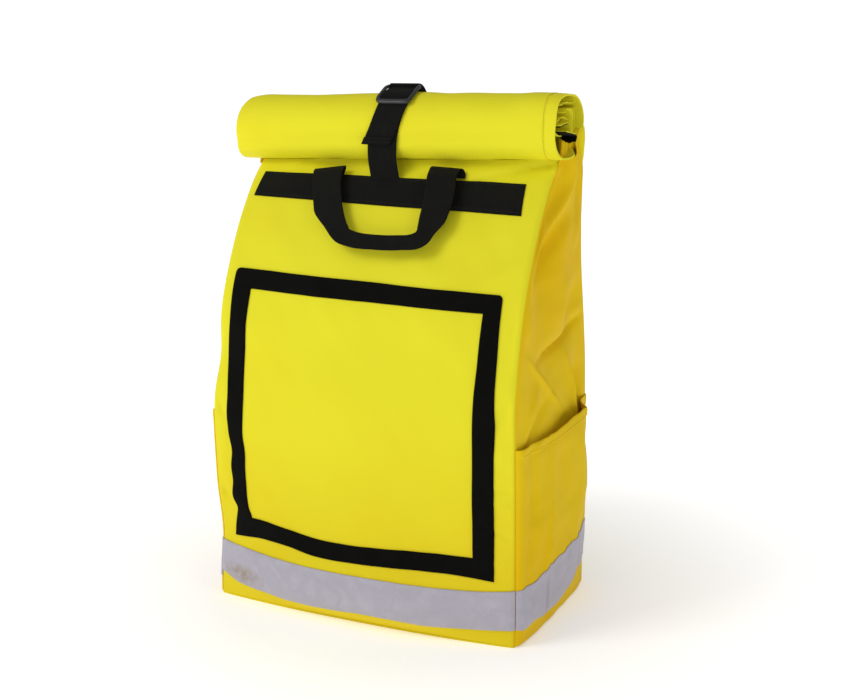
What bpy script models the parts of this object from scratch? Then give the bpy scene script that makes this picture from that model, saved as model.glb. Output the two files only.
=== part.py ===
"""Roll-top backpack standing on its flat base.

Metres, +Z up. The origin is the centre of the base on the floor, -Y is the front and +X is
the right side seen from the front. Every sewn piece is a thin closed solid of its own, and
neighbours keep a small seam gap.
"""
import math

import bpy
import numpy as np

# Driving sizes of the bag, in metres
BAG_WIDTH = 0.420
BAG_DEPTH = 0.250
BODY_HEIGHT = 0.5745
CLOTH = 0.0020
SEAM = 0.0003

# The roll at the top
ROLL_RADIUS = 0.0415
ROLL_LENGTH = 0.455
ROLL_SHIFT = -0.0045
ROLL_LAYER = 0.0025
ROLL_PITCH = 0.0085
ROLL_CENTRE_Y = 0.0125
ROLL_TURNS = 1.75
ROLL_START_DEG = -4.0
ROLL_TILT = 0.024
ROLL_TUCK_DEG = 285.0
ROLL_TUCK_OVER_DEG = 80.0
ROLL_CORE_DEG = 540.0
ROLL_CORE_OVER_DEG = 180.0
BACK_RISE = 0.0370

# Tapes and webbing
TAPE = 0.0010
WEBBING = 0.0015
BAND_LOW = 0.024
BAND_WIDTH = 0.050
FRAME_LOW = 0.084
FRAME_HEIGHT = 0.348
FRAME_WIDTH = 0.371
FRAME_SHIFT = -0.0025
FRAME_TAPE = 0.026
FRAME_TOP_SHARE = 0.90
FRONT_WEBBING_DROP = 0.0220
FRONT_WEBBING_RISE = 0.0345
FRONT_WEBBING_LENGTH = 0.372
FRONT_WEBBING_SHIFT = -0.006
MOUTH_TAPE_LENGTH = 0.443

# Side pockets
POCKET_TOP = 0.252
POCKET_BULGE = 0.0135

# Closure strap and its buckle
STRAP_WIDTH = 0.040
STRAP_FOOT_X = -0.0105
STRAP_TOP_X = -0.0020
TAIL_END_X = -0.0215
TAIL_DROP = 0.0200
BUCKLE_WIDTH = 0.050
BUCKLE_RAIL = 0.0040
BUCKLE_PLATE = 0.0024
BUCKLE_LIFT = 0.0045
BUCKLE_FRONT_DEG = 139.0
BUCKLE_MIDDLE_DEG = 114.0
BUCKLE_REAR_DEG = 90.0
BUCKLE_BAR_DEG = 4.0
BAR_CLEAR_DEG = 6.0
STRAP_RISE_SHARE = 0.35

# Carry handle
HANDLE_LEG_LEFT = -0.0895
HANDLE_LEG_RIGHT = 0.0665
HANDLE_LEAN = 0.0315
HANDLE_WIDTH = 0.0415
HANDLE_DROP = 0.0800
HANDLE_STAND_OFF = 0.0180

# Plain straps on the back
BACK_WEBBING_DROP = 0.0745
BACK_WEBBING_RISE = 0.038
BACK_WEBBING_LENGTH = 0.230
BACK_STRAP_LEAVES = 0.2
SHOULDER_WIDTH = 0.060
SHOULDER_THICKNESS = 0.010
SHOULDER_FLAT_SHARE = 0.38
SHOULDER_RIM_SHARE = 0.45
SHOULDER_TOP_X = 0.058
SHOULDER_END_X = 0.098
SHOULDER_DROP = 0.330
SHOULDER_BOW = 0.075
LOWER_WEBBING_WIDTH = 0.025
LOWER_WEBBING_END_X = 0.165
LOWER_WEBBING_END_Z = 0.050
LOWER_WEBBING_STEPS = 5
ADJUSTER_START = 0.0096
ADJUSTER_BAR = 0.0031
ADJUSTER_GAP = 0.0072
ADJUSTER_RAIL = 0.0040

# Spacing of the facets
PANEL_STEP = 0.036
TOP_STEP = 0.020
TOP_FROM = 0.430
SIDE_COLUMNS = 9
ARC_STEP_DEG = 9.0
FOLD_STEPS = 5
ROLL_STEP_DEG = 15.0

HALF_WIDTH = BAG_WIDTH / 2.0
HALF_DEPTH = BAG_DEPTH / 2.0
ROLL_CENTRE_Z = BODY_HEIGHT + SEAM + ROLL_RADIUS
WALL_FOOT = CLOTH + SEAM
RISE_FROM = 0.870 * BODY_HEIGHT
RISE_POWER = 3.6
SLOPE_REACH = 0.003
STEEPEST = 2.2

# Outline of the bag from the side. height is a share of BODY_HEIGHT and all others but skew
# are shares of half the depth: front and back are the edges of the side walls, belly is the
# front's swell at its middle, flank the sides' swell, and droop how far the cloth sags
# there. skew is how far the front rises at the left and sags at the right, as a share of
# half the width.
BODY = {
    "columns": ("height", "front", "back", "belly", "flank", "droop", "skew"),
    "rows": (
        (0.000, -1.000, 1.000, 0.070, 0.045, 0.000, 0.000),
        (0.035, -1.000, 1.000, 0.210, 0.055, 0.040, 0.000),
        (0.118, -1.005, 1.000, 0.245, 0.055, 0.046, 0.000),
        (0.150, -1.010, 1.000, 0.160, 0.052, 0.006, 0.000),
        (0.190, -1.015, 1.000, 0.125, 0.050, 0.000, 0.001),
        (0.330, -1.035, 1.005, 0.100, 0.040, 0.000, 0.004),
        (0.435, -1.055, 1.005, 0.090, 0.030, 0.000, 0.008),
        (0.525, -1.035, 0.990, 0.085, 0.020, 0.000, 0.014),
        (0.610, -0.965, 0.940, 0.080, 0.010, 0.000, 0.020),
        (0.700, -0.855, 0.860, 0.075, 0.000, 0.000, 0.024),
        (0.785, -0.690, 0.785, 0.065, 0.000, 0.000, 0.022),
        (0.870, -0.475, 0.755, 0.050, 0.000, 0.000, 0.018),
        (0.955, -0.175, 0.755, 0.030, 0.010, 0.000, 0.000),
        (1.000, 0.035, 0.735, 0.010, 0.020, 0.000, -0.024),
        (1.030, 0.100, 0.600, 0.000, 0.020, 0.000, -0.024),
        (1.065, 0.200, 0.450, 0.000, 0.020, 0.000, -0.024),
    ),
}
SWELL_POWER = 2.5
SIDE_SAG = 0.4
FOLD_WINDOW_POWER = 4
FOLD_FROM = 0.10

# Dents of the front. across is a share of half the width, height of BODY_HEIGHT, the two
# spreads are shares of the same, and depth is a share of the bag's depth, inward.
FRONT_DENTS = {
    "columns": ("across", "height", "spread_across", "spread_up", "depth"),
    "rows": (
        (-1.00, 0.150, 0.42, 0.085, 0.036),
        (-1.00, 0.560, 0.40, 0.060, 0.036),
        (0.55, 0.930, 0.22, 0.035, 0.012),
        (-0.45, 0.960, 0.20, 0.030, 0.012),
    ),
}

# Folds of the side walls. along runs from the front edge to the back edge, the other
# columns are as above, and a negative depth stands out.
SIDE_FOLDS = {
    "columns": ("along", "height", "spread_along", "spread_up", "depth"),
    "rows": (
        (0.60, 0.300, 0.40, 0.200, -0.016),
        (0.24, 0.850, 0.14, 0.150, 0.050),
        (0.55, 0.800, 0.16, 0.140, -0.018),
        (0.80, 0.720, 0.12, 0.120, 0.020),
        (0.45, 0.590, 0.16, 0.035, 0.020),
        (0.86, 0.505, 0.10, 0.050, 0.034),
        (0.60, 0.985, 0.30, 0.040, -0.030),
    ),
}

# Swell of a side pocket away from the side wall, as a share of POCKET_BULGE
POCKET_ALONG = {
    "columns": ("along", "swell"),
    "rows": (
        (0.00, 0.00),
        (0.15, 0.12),
        (0.35, 0.42),
        (0.55, 0.78),
        (0.75, 1.00),
        (0.90, 1.00),
        (1.00, 0.10),
    ),
}
POCKET_UP = {
    "columns": ("height", "swell"),
    "rows": (
        (0.00, 0.00),
        (0.10, 0.30),
        (0.29, 0.78),
        (0.55, 1.00),
        (0.75, 1.00),
        (1.00, 0.86),
    ),
}

# Cross-section of the roll along its length, as shares of its length and of its radius
ROLL_SECTIONS = {
    "columns": ("along", "radius"),
    "rows": (
        (0.00, 0.980),
        (0.12, 0.995),
        (0.30, 0.985),
        (0.42, 1.000),
        (0.56, 1.000),
        (0.75, 0.970),
        (0.90, 0.965),
        (1.00, 0.935),
    ),
}

# One leg of the carry handle from its sewn end to the corner of the grip, seen flat on the
# front. The x columns are shares of HANDLE_WIDTH from the leg's middle towards the other
# leg, the drop columns are shares of HANDLE_DROP below the webbing's top edge, and lift is
# a share of HANDLE_STAND_OFF.
HANDLE_LEG = {
    "columns": ("outer_x", "outer_drop", "inner_x", "inner_drop", "lift"),
    "rows": (
        (-0.60, -0.012, 0.40, -0.012, 0.075),
        (-0.60, -0.060, 0.40, -0.060, 0.095),
        (-0.60, -0.100, 0.40, -0.110, 0.190),
        (-0.60, -0.110, 0.40, -0.120, 0.400),
        (-0.54, -0.050, 0.44, -0.060, 0.600),
        (-0.46, 0.110, 0.50, 0.110, 0.680),
        (-0.40, 0.370, 0.58, 0.340, 0.740),
        (-0.30, 0.600, 0.66, 0.540, 0.860),
        (0.06, 0.775, 0.69, 0.630, 0.950),
        (0.41, 0.900, 0.695, 0.680, 1.000),
    ),
}
HANDLE_GRIP = {
    "columns": ("along", "outer_drop", "inner_drop"),
    "rows": ((0.25, 0.965, 0.755), (0.50, 0.985, 0.780), (0.75, 0.970, 0.760)),
}

# The tape on the rolled mouth, as (y, z) shares of the roll's hollow from its centre
MOUTH_TAPES = {
    "mouth_tape_upper": ((-0.99, 0.06), (-0.45, 0.02)),
    "mouth_tape_lower": ((-0.40, -0.20), (0.70, -0.26), (1.00, -0.26), (0.94, -0.46)),
}

# A shoulder strap from its sewn top to its lower end. drop is a share of SHOULDER_DROP,
# bow of SHOULDER_BOW, and out goes from SHOULDER_TOP_X to SHOULDER_END_X.
SHOULDER = {
    "columns": ("drop", "bow", "out"),
    "rows": (
        (0.00, 0.000, 0.00),
        (0.06, 0.020, 0.00),
        (0.15, 0.240, 0.04),
        (0.30, 0.560, 0.16),
        (0.48, 0.830, 0.38),
        (0.66, 0.980, 0.64),
        (0.84, 1.000, 0.86),
        (1.00, 0.920, 1.00),
    ),
}

YELLOW = (0.70, 0.65, 0.03)
GREY = (0.41, 0.38, 0.43)
BLACK_WEBBING = (0.012, 0.012, 0.011)
BLACK_TAPE = (0.006, 0.005, 0.004)
BLACK_PLASTIC = (0.015, 0.016, 0.018)


def clear_scene():
    """Remove every object, so that the script can be run again."""
    for item in list(bpy.data.objects):
        bpy.data.objects.remove(item, do_unlink=True)


def make_material(name, colour, roughness):
    """Principled material with one colour."""
    material = bpy.data.materials.new(name)
    material.use_nodes = True
    shader = material.node_tree.nodes["Principled BSDF"]
    shader.inputs["Base Color"].default_value = (*colour, 1.0)
    shader.inputs["Roughness"].default_value = roughness
    shader.inputs["Metallic"].default_value = 0.0
    return material


def smooth_step(value):
    """0 below 0, 1 above 1, and an S curve between."""
    share = np.clip(value, 0.0, 1.0)
    return share * share * (3.0 - 2.0 * share)


def table_column(table, name):
    """Values of a named column of a table."""
    place = table["columns"].index(name)
    return np.array([row[place] for row in table["rows"]], float)


def column(table, name, at):
    """Named column of a table at shares of its first column, smooth between the rows."""
    first = table_column(table, table["columns"][0])
    values = table_column(table, name)
    slopes = np.gradient(values, first)
    at = np.clip(np.asarray(at, float), first[0], first[-1])
    low = np.clip(np.searchsorted(first, at, side="right") - 1, 0, len(first) - 2)
    span = first[low + 1] - first[low]
    t = (at - first[low]) / span
    start = (1.0 + 2.0 * t) * (1.0 - t) ** 2 * values[low] + t * (1.0 - t) ** 2 * span * slopes[low]
    end = t * t * (3.0 - 2.0 * t) * values[low + 1] + t * t * (t - 1.0) * span * slopes[low + 1]
    return start + end


def relief(table, along, height):
    """Sum of the rounded dents of a table, as a share of the bag's depth."""
    total = np.zeros(np.broadcast(along, height).shape)
    for centre, level, spread, spread_up, depth in table["rows"]:
        distance = ((along - centre) / spread) ** 2 + ((height - level) / spread_up) ** 2
        total = total + depth * np.exp(-distance)
    return total


def grid_lines(features, step, fine_step=None, fine_from=None):
    """Sorted lines through every feature, with even steps between them."""
    edges = sorted(set(round(value, 7) for value in features))
    lines = [edges[0]]
    for low, high in zip(edges, edges[1:]):
        limit = step
        if fine_step is not None and high > fine_from:
            limit = fine_step
        count = max(1, math.ceil((high - low) / limit - 1e-6))
        lines.extend(low + (high - low) * (k + 1) / count for k in range(count))
    return np.array(lines)


FRAME_LEFT = FRAME_SHIFT - FRAME_WIDTH / 2.0
FRAME_RIGHT = FRAME_SHIFT + FRAME_WIDTH / 2.0
FRAME_HIGH = FRAME_LOW + FRAME_HEIGHT
FRAME_TOP_RISE = FRAME_TAPE * FRAME_TOP_SHARE
FRONT_WEBBING_HIGH = BODY_HEIGHT - FRONT_WEBBING_DROP
FRONT_WEBBING_LOW = FRONT_WEBBING_HIGH - FRONT_WEBBING_RISE
FRONT_WEBBING_LEFT = FRONT_WEBBING_SHIFT - FRONT_WEBBING_LENGTH / 2.0
FRONT_WEBBING_RIGHT = FRONT_WEBBING_SHIFT + FRONT_WEBBING_LENGTH / 2.0
BAND_HIGH = BAND_LOW + BAND_WIDTH
BACK_WEBBING_HIGH = BODY_HEIGHT - BACK_WEBBING_DROP
BACK_WEBBING_LOW = BACK_WEBBING_HIGH - BACK_WEBBING_RISE

ROWS = grid_lines(
    (WALL_FOOT, BAND_LOW, BAND_HIGH, FRAME_LOW, FRAME_LOW + FRAME_TAPE, POCKET_TOP,
     FRAME_HIGH - FRAME_TOP_RISE, FRAME_HIGH, BACK_WEBBING_LOW, BACK_WEBBING_HIGH, FRONT_WEBBING_LOW,
     FRONT_WEBBING_HIGH, BODY_HEIGHT),
    PANEL_STEP, TOP_STEP, TOP_FROM)
FRONT_COLUMNS = grid_lines(
    (-HALF_WIDTH, FRAME_LEFT, FRAME_LEFT + FRAME_TAPE, FRONT_WEBBING_LEFT, 0.0, FRONT_WEBBING_RIGHT,
     FRAME_RIGHT - FRAME_TAPE, FRAME_RIGHT, HALF_WIDTH), 1.4 * PANEL_STEP)
BACK_COLUMNS = grid_lines(
    (-HALF_WIDTH, -BACK_WEBBING_LENGTH / 2.0, BACK_WEBBING_LENGTH / 2.0, HALF_WIDTH), 2.0 * PANEL_STEP)


def edge_line(name, height):
    """Distance from the middle to the front or back edge of the side walls at a height."""
    return HALF_DEPTH * column(BODY, name, height / BODY_HEIGHT)


def swell(across):
    """1 in the middle of a wall, 0 at its edges. across goes from -1 to 1."""
    return 1.0 - np.abs(across) ** SWELL_POWER


def sag(across, row):
    """How far the cloth hangs down in the middle of a wall."""
    start = smooth_step((row - WALL_FOOT) / BAND_LOW)
    return HALF_DEPTH * column(BODY, "droop", row / BODY_HEIGHT) * swell(across) * start


def front_surface(x, row):
    """Height and depth of the front's outer face."""
    across = x / HALF_WIDTH
    share = row / BODY_HEIGHT
    z = row - HALF_WIDTH * column(BODY, "skew", share) * across - sag(across, row)
    y = edge_line("front", z) - HALF_DEPTH * column(BODY, "belly", share) * swell(across)
    return y + BAG_DEPTH * relief(FRONT_DENTS, across, share), z


def wall_depth(surface, x, row):
    """How deep a leaning wall measures along Y for one thickness of 1."""
    low_y, low_z = surface(x, row - SLOPE_REACH)
    high_y, high_z = surface(x, row + SLOPE_REACH)
    slope = (high_y - low_y) / (high_z - low_z)
    return np.minimum(np.sqrt(1.0 + slope * slope), STEEPEST)


def front_point(x, row, lift=0.0):
    """Points of the front's outer face, lifted outwards. x and row are arrays."""
    x, row = np.broadcast_arrays(np.asarray(x, float), np.asarray(row, float))
    y, z = front_surface(x, row)
    return np.stack((x, y - lift * wall_depth(front_surface, x, row), z), axis=-1)


def back_height(row):
    """Height of a row on the back, which rises further, behind the roll."""
    return row + BACK_RISE * smooth_step((row - RISE_FROM) / (BODY_HEIGHT - RISE_FROM))


def back_surface(x, row):
    """Height and depth of the back's outer face."""
    across = x / HALF_WIDTH
    z = back_height(row) - HALF_WIDTH * column(BODY, "skew", row / BODY_HEIGHT) * across
    return edge_line("back", back_height(row)), z


def back_point(x, row, lift=0.0):
    """Points of the back's outer face, lifted outwards."""
    x, row = np.broadcast_arrays(np.asarray(x, float), np.asarray(row, float))
    y, z = back_surface(x, row)
    return np.stack(np.broadcast_arrays(x, y + lift * wall_depth(back_surface, x, row), z), axis=-1)


def side_width(along, row):
    """Half the bag's width at a side wall's outer face."""
    share = row / BODY_HEIGHT
    window = 1.0 - (2.0 * along - 1.0) ** FOLD_WINDOW_POWER
    fold = BAG_DEPTH * relief(SIDE_FOLDS, along, share) * window * smooth_step(share / FOLD_FROM)
    flank = HALF_DEPTH * column(BODY, "flank", share) * swell(2.0 * along - 1.0)
    return HALF_WIDTH + flank - fold


def side_point(side, along, row, lift=0.0):
    """Points of a side wall's outer face. along runs from the front wall to the back wall."""
    along, row = np.broadcast_arrays(np.asarray(along, float), np.asarray(row, float))
    corner = side * HALF_WIDTH
    front = front_point(corner, row, -WALL_FOOT)
    back = back_point(corner, row, -WALL_FOOT)
    z = front[..., 2] + (back[..., 2] - front[..., 2]) * along ** RISE_POWER
    z = z - SIDE_SAG * sag(2.0 * along - 1.0, row)
    y = front[..., 1] + (back[..., 1] - front[..., 1]) * along
    x = side * (side_width(along, row) + lift)
    return np.stack((x, y, z), axis=-1)


def pocket_swell(along, row):
    """How far a side pocket stands off the side wall."""
    up = column(POCKET_UP, "swell", row / POCKET_TOP)
    return POCKET_BULGE * column(POCKET_ALONG, "swell", along) * up


def sheet_solid(name, outer, inner, material, mask=None):
    """Closed solid between two grids of points, over the cells that the mask keeps."""
    count_u, count_v = outer.shape[:2]
    if mask is None:
        mask = np.ones((count_u - 1, count_v - 1), bool)
    padded = np.zeros((count_u + 1, count_v + 1), bool)
    padded[1:-1, 1:-1] = mask
    offset = count_u * count_v
    triangles = []

    def quad(a, b, c, d):
        triangles.append((a, b, c))
        triangles.append((a, c, d))

    for i, j in zip(*np.nonzero(mask)):
        a = int(i * count_v + j)
        b = int((i + 1) * count_v + j)
        c = b + 1
        d = a + 1
        quad(a, b, c, d)
        triangles.append((a + offset, c + offset, b + offset))
        triangles.append((a + offset, d + offset, c + offset))
        if not padded[i, j + 1]:
            quad(d, d + offset, a + offset, a)
        if not padded[i + 2, j + 1]:
            quad(b, b + offset, c + offset, c)
        if not padded[i + 1, j]:
            quad(a, a + offset, b + offset, b)
        if not padded[i + 1, j + 2]:
            quad(c, c + offset, d + offset, d)
    points = np.concatenate((outer.reshape(-1, 3), inner.reshape(-1, 3)))
    triangles = np.array(triangles)
    used = np.unique(triangles)
    renumber = np.zeros(len(points), int)
    renumber[used] = np.arange(len(used))
    points = points[used]
    triangles = renumber[triangles]
    corners = points[triangles]
    volume = np.einsum("ij,ij->i", corners[:, 0], np.cross(corners[:, 1], corners[:, 2])).sum()
    if volume < 0.0:
        triangles = triangles[:, ::-1]
    mesh = bpy.data.meshes.new(name)
    mesh.from_pydata(points.tolist(), [], triangles.tolist())
    mesh.materials.append(material)
    mesh.update()
    mesh.validate()
    piece = bpy.data.objects.new(name, mesh)
    bpy.context.scene.collection.objects.link(piece)
    return piece


def between(lines, low, high):
    """The grid lines from low to high."""
    return lines[(lines > low - 1e-6) & (lines < high + 1e-6)]


def build_panels(cloth):
    """The base and the four walls."""
    side_columns = np.linspace(0.0, 1.0, SIDE_COLUMNS)
    across, along = np.meshgrid(FRONT_COLUMNS / HALF_WIDTH, side_columns, indexing="ij")
    front_y = front_surface(across * HALF_WIDTH, WALL_FOOT)[0]
    y = front_y + (HALF_DEPTH - front_y) * along
    low = np.stack((across * side_width(along, WALL_FOOT), y, np.zeros_like(along)), axis=-1)
    sheet_solid("base_panel", low + np.array([0.0, 0.0, CLOTH]), low, cloth)
    x, row = np.meshgrid(FRONT_COLUMNS, ROWS, indexing="ij")
    sheet_solid("front_panel", front_point(x, row), front_point(x, row, -CLOTH), cloth)
    x, row = np.meshgrid(BACK_COLUMNS, ROWS, indexing="ij")
    sheet_solid("back_panel", back_point(x, row), back_point(x, row, -CLOTH), cloth)
    along, row = np.meshgrid(side_columns, ROWS, indexing="ij")
    for label, side in (("right", 1.0), ("left", -1.0)):
        outer = side_point(side, along, row)
        inner = side_point(side, along, row, -CLOTH)
        sheet_solid("side_panel_" + label, outer, inner, cloth)


def build_pockets(cloth, reflective):
    """Side pockets, open at the top, with the reflective band over them."""
    columns = np.linspace(0.0, 1.0, SIDE_COLUMNS)
    for label, side in (("right", 1.0), ("left", -1.0)):
        along, row = np.meshgrid(columns, between(ROWS, WALL_FOOT, POCKET_TOP), indexing="ij")
        stand = SEAM + pocket_swell(along, row)
        inner = side_point(side, along, row, stand)
        outer = side_point(side, along, row, stand + CLOTH)
        sheet_solid("side_pocket_" + label, outer, inner, cloth)
        along, row = np.meshgrid(columns, between(ROWS, BAND_LOW, BAND_HIGH), indexing="ij")
        stand = 2.0 * SEAM + CLOTH + pocket_swell(along, row)
        inner = side_point(side, along, row, stand)
        outer = side_point(side, along, row, stand + TAPE)
        sheet_solid("reflective_band_" + label, outer, inner, reflective)


def front_patch(name, left, right, low, high, thickness, material, hole=None):
    """Flat strip sewn on the front, with an optional rectangular hole."""
    columns = between(FRONT_COLUMNS, left, right)
    rows = between(ROWS, low, high)
    x, row = np.meshgrid(columns, rows, indexing="ij")
    mask = None
    if hole is not None:
        middle_x = (columns[1:] + columns[:-1]) / 2.0
        middle_row = (rows[1:] + rows[:-1]) / 2.0
        inside_x = (middle_x > hole[0]) & (middle_x < hole[1])
        inside_row = (middle_row > hole[2]) & (middle_row < hole[3])
        mask = ~(inside_x[:, None] & inside_row[None, :])
    return sheet_solid(name, front_point(x, row, SEAM + thickness), front_point(x, row, SEAM), material, mask)


def build_front_strips(webbing, loop_tape, reflective):
    """Reflective band, loop tape frame and horizontal webbing of the front."""
    front_patch("reflective_band_front", -HALF_WIDTH, HALF_WIDTH, BAND_LOW, BAND_HIGH, TAPE, reflective)
    hole = (FRAME_LEFT + FRAME_TAPE, FRAME_RIGHT - FRAME_TAPE,
            FRAME_LOW + FRAME_TAPE, FRAME_HIGH - FRAME_TOP_RISE)
    front_patch("loop_tape_frame", FRAME_LEFT, FRAME_RIGHT, FRAME_LOW, FRAME_HIGH, WEBBING, loop_tape, hole)
    front_patch("front_webbing", FRONT_WEBBING_LEFT, FRONT_WEBBING_RIGHT,
                FRONT_WEBBING_LOW, FRONT_WEBBING_HIGH, WEBBING, webbing)


def roll_point(radius, degrees):
    """Point of the roll's section, as (y, z). 0 degrees is the back and 90 the top."""
    angle = np.radians(degrees)
    y = ROLL_CENTRE_Y + radius * np.cos(angle)
    z = ROLL_CENTRE_Z + radius * np.sin(angle)
    return np.stack(np.broadcast_arrays(y, z), axis=-1)


def build_roll(cloth):
    """The mouth rolled forward: one spiral sheet that keeps its underside on the front wall."""
    count = int(round(360.0 * ROLL_TURNS / ROLL_STEP_DEG)) + 1
    degrees = np.linspace(ROLL_START_DEG, ROLL_START_DEG + 360.0 * ROLL_TURNS, count)
    tuck = smooth_step((degrees - ROLL_TUCK_DEG) / ROLL_TUCK_OVER_DEG)
    core = smooth_step((degrees - ROLL_CORE_DEG) / ROLL_CORE_OVER_DEG)
    radius = ROLL_RADIUS - ROLL_PITCH * (tuck + core)
    outer = []
    inner = []
    for along, share in ROLL_SECTIONS["rows"]:
        x = np.full(count, ROLL_SHIFT + ROLL_LENGTH * (along - 0.5))
        lower = np.array([0.0, ROLL_RADIUS * (share - 1.0) + ROLL_TILT * x[0]])
        outer.append(np.column_stack((x, roll_point(radius * share, degrees) + lower)))
        inner.append(np.column_stack((x, roll_point(radius * share - ROLL_LAYER, degrees) + lower)))
    sheet_solid("rolled_top", np.array(outer), np.array(inner), cloth)


def strip_normals(centre, side):
    """Normals of a strip along its centre points, square to its side directions."""
    steps = np.diff(centre, axis=0)
    steps = steps / np.linalg.norm(steps, axis=1)[:, None]
    tangent = np.vstack((steps[:1], steps[:-1] + steps[1:], steps[-1:]))
    normal = np.cross(tangent, side)
    return normal / np.linalg.norm(normal, axis=1)[:, None]


def strip(name, left, right, thickness, material):
    """Closed strip between two rows of edge points."""
    side = right - left
    side = side / np.linalg.norm(side, axis=1)[:, None]
    normal = strip_normals((left + right) / 2.0, side)[:, None, :]
    middle = np.stack((left, right), axis=1)
    return sheet_solid(name, middle + normal * thickness / 2.0, middle - normal * thickness / 2.0, material)


def strip_along(name, centre, width, thickness, material):
    """Closed strip along centre points, with its width along X."""
    half = np.array([width / 2.0, 0.0, 0.0])
    return strip(name, centre - half, centre + half, thickness, material)


def build_mouth_tape(webbing):
    """Two turns of the tape on the mouth, seated on the inner layer of the roll."""
    narrowest = table_column(ROLL_SECTIONS, "radius").min()
    flat = math.cos(math.radians(ROLL_STEP_DEG / 2.0))
    hollow = (ROLL_RADIUS - ROLL_PITCH) * narrowest * flat - ROLL_LAYER - SEAM
    half = np.array([0.5, 0.0, 0.5 * ROLL_TILT]) * MOUTH_TAPE_LENGTH
    for name, path in MOUTH_TAPES.items():
        middle = np.array([ROLL_SHIFT, ROLL_CENTRE_Y, ROLL_CENTRE_Z])
        centre = middle + hollow * np.array([(0.0, y, z) for y, z in path])
        strip(name, centre - half, centre + half, WEBBING, webbing)


STRAP_RADIUS = ROLL_RADIUS + SEAM + ROLL_TILT * STRAP_WIDTH / 2.0 + WEBBING / 2.0
STRAP_LAYER = WEBBING + SEAM
FOLD_RADIUS = BUCKLE_PLATE / 2.0 + SEAM + WEBBING / 2.0
REAR_BAR_RADIUS = STRAP_RADIUS + FOLD_RADIUS + BUCKLE_LIFT
FRONT_BAR_RADIUS = STRAP_RADIUS + STRAP_LAYER + FOLD_RADIUS


def touch_degrees(point, radius, back):
    """Where a straight line from a point (y, z) touches the roll, as an angle on it."""
    y = point[0] - ROLL_CENTRE_Y
    z = point[1] - ROLL_CENTRE_Z
    bearing = math.degrees(math.atan2(z, y)) % 360.0
    reach = math.degrees(math.acos(min(1.0, radius / math.hypot(y, z))))
    if back:
        return bearing + reach - 360.0
    return bearing - reach


def arc(start, end, radius_start, radius_end):
    """Points (y, z) on the roll between two angles, the radius easing from one to the other."""
    count = max(2, math.ceil(abs(end - start) / ARC_STEP_DEG) + 1)
    degrees = np.linspace(start, end, count)
    ease = smooth_step((degrees - start) / (end - start))
    return roll_point(radius_start + (radius_end - radius_start) * ease, degrees)


def fold(bar_radius, degrees, turn):
    """Half circle of strap round a buckle bar, from under it to over it."""
    angle = math.radians(degrees)
    out = np.array([math.cos(angle), math.sin(angle)])
    ahead = turn * np.array([-math.sin(angle), math.cos(angle)])
    middle = roll_point(bar_radius, degrees)
    sweep = np.radians(np.linspace(0.0, 180.0, FOLD_STEPS + 2))[1:-1]
    return middle + FOLD_RADIUS * (ahead * np.sin(sweep)[:, None] - out * np.cos(sweep)[:, None])


def across_path(path, x_values):
    """Points (x, y, z) from a path of (y, z), its x going through values at shares of length."""
    length = np.concatenate(([0.0], np.cumsum(np.linalg.norm(np.diff(path, axis=0), axis=1))))
    shares = np.linspace(0.0, 1.0, len(x_values))
    x = np.interp(length / length[-1], shares, x_values)
    return np.column_stack((x, path))


def build_closure_strap(webbing):
    """From the front webbing up to the buckle, round its middle bar and back as the free tail."""
    foot = front_point(STRAP_FOOT_X, FRONT_WEBBING_HIGH + STRAP_LAYER, SEAM + WEBBING / 2.0)[1:]
    touch = touch_degrees(foot, STRAP_RADIUS, False)
    bar_end = BUCKLE_MIDDLE_DEG - BUCKLE_BAR_DEG / 2.0
    under = arc(touch, bar_end, STRAP_RADIUS, STRAP_RADIUS)
    rise = np.vstack((foot, under))
    bar_clear = bar_end + BAR_CLEAR_DEG
    above = STRAP_RADIUS + 2.0 * FOLD_RADIUS
    over = arc(bar_end, bar_clear, above, above)
    sink = arc(bar_clear, BUCKLE_FRONT_DEG - BUCKLE_BAR_DEG, above, STRAP_RADIUS + STRAP_LAYER)[1:]
    lay = arc(BUCKLE_FRONT_DEG, touch, STRAP_RADIUS + STRAP_LAYER, STRAP_RADIUS + STRAP_LAYER)
    down = (foot - under[0]) / np.linalg.norm(foot - under[0])
    hem = lay[-1] + down * TAIL_DROP
    bend = fold(STRAP_RADIUS + FOLD_RADIUS, bar_end, -1.0)
    up = across_path(rise, (STRAP_FOOT_X, STRAP_TOP_X, STRAP_TOP_X, STRAP_TOP_X))
    inside = across_path(np.vstack((bend, over, sink)), (STRAP_TOP_X, STRAP_TOP_X))
    tail = across_path(np.vstack((lay, hem)), (STRAP_TOP_X, TAIL_END_X))
    strip_along("closure_strap", np.vstack((up, inside, tail)), STRAP_WIDTH, WEBBING, webbing)


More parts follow.
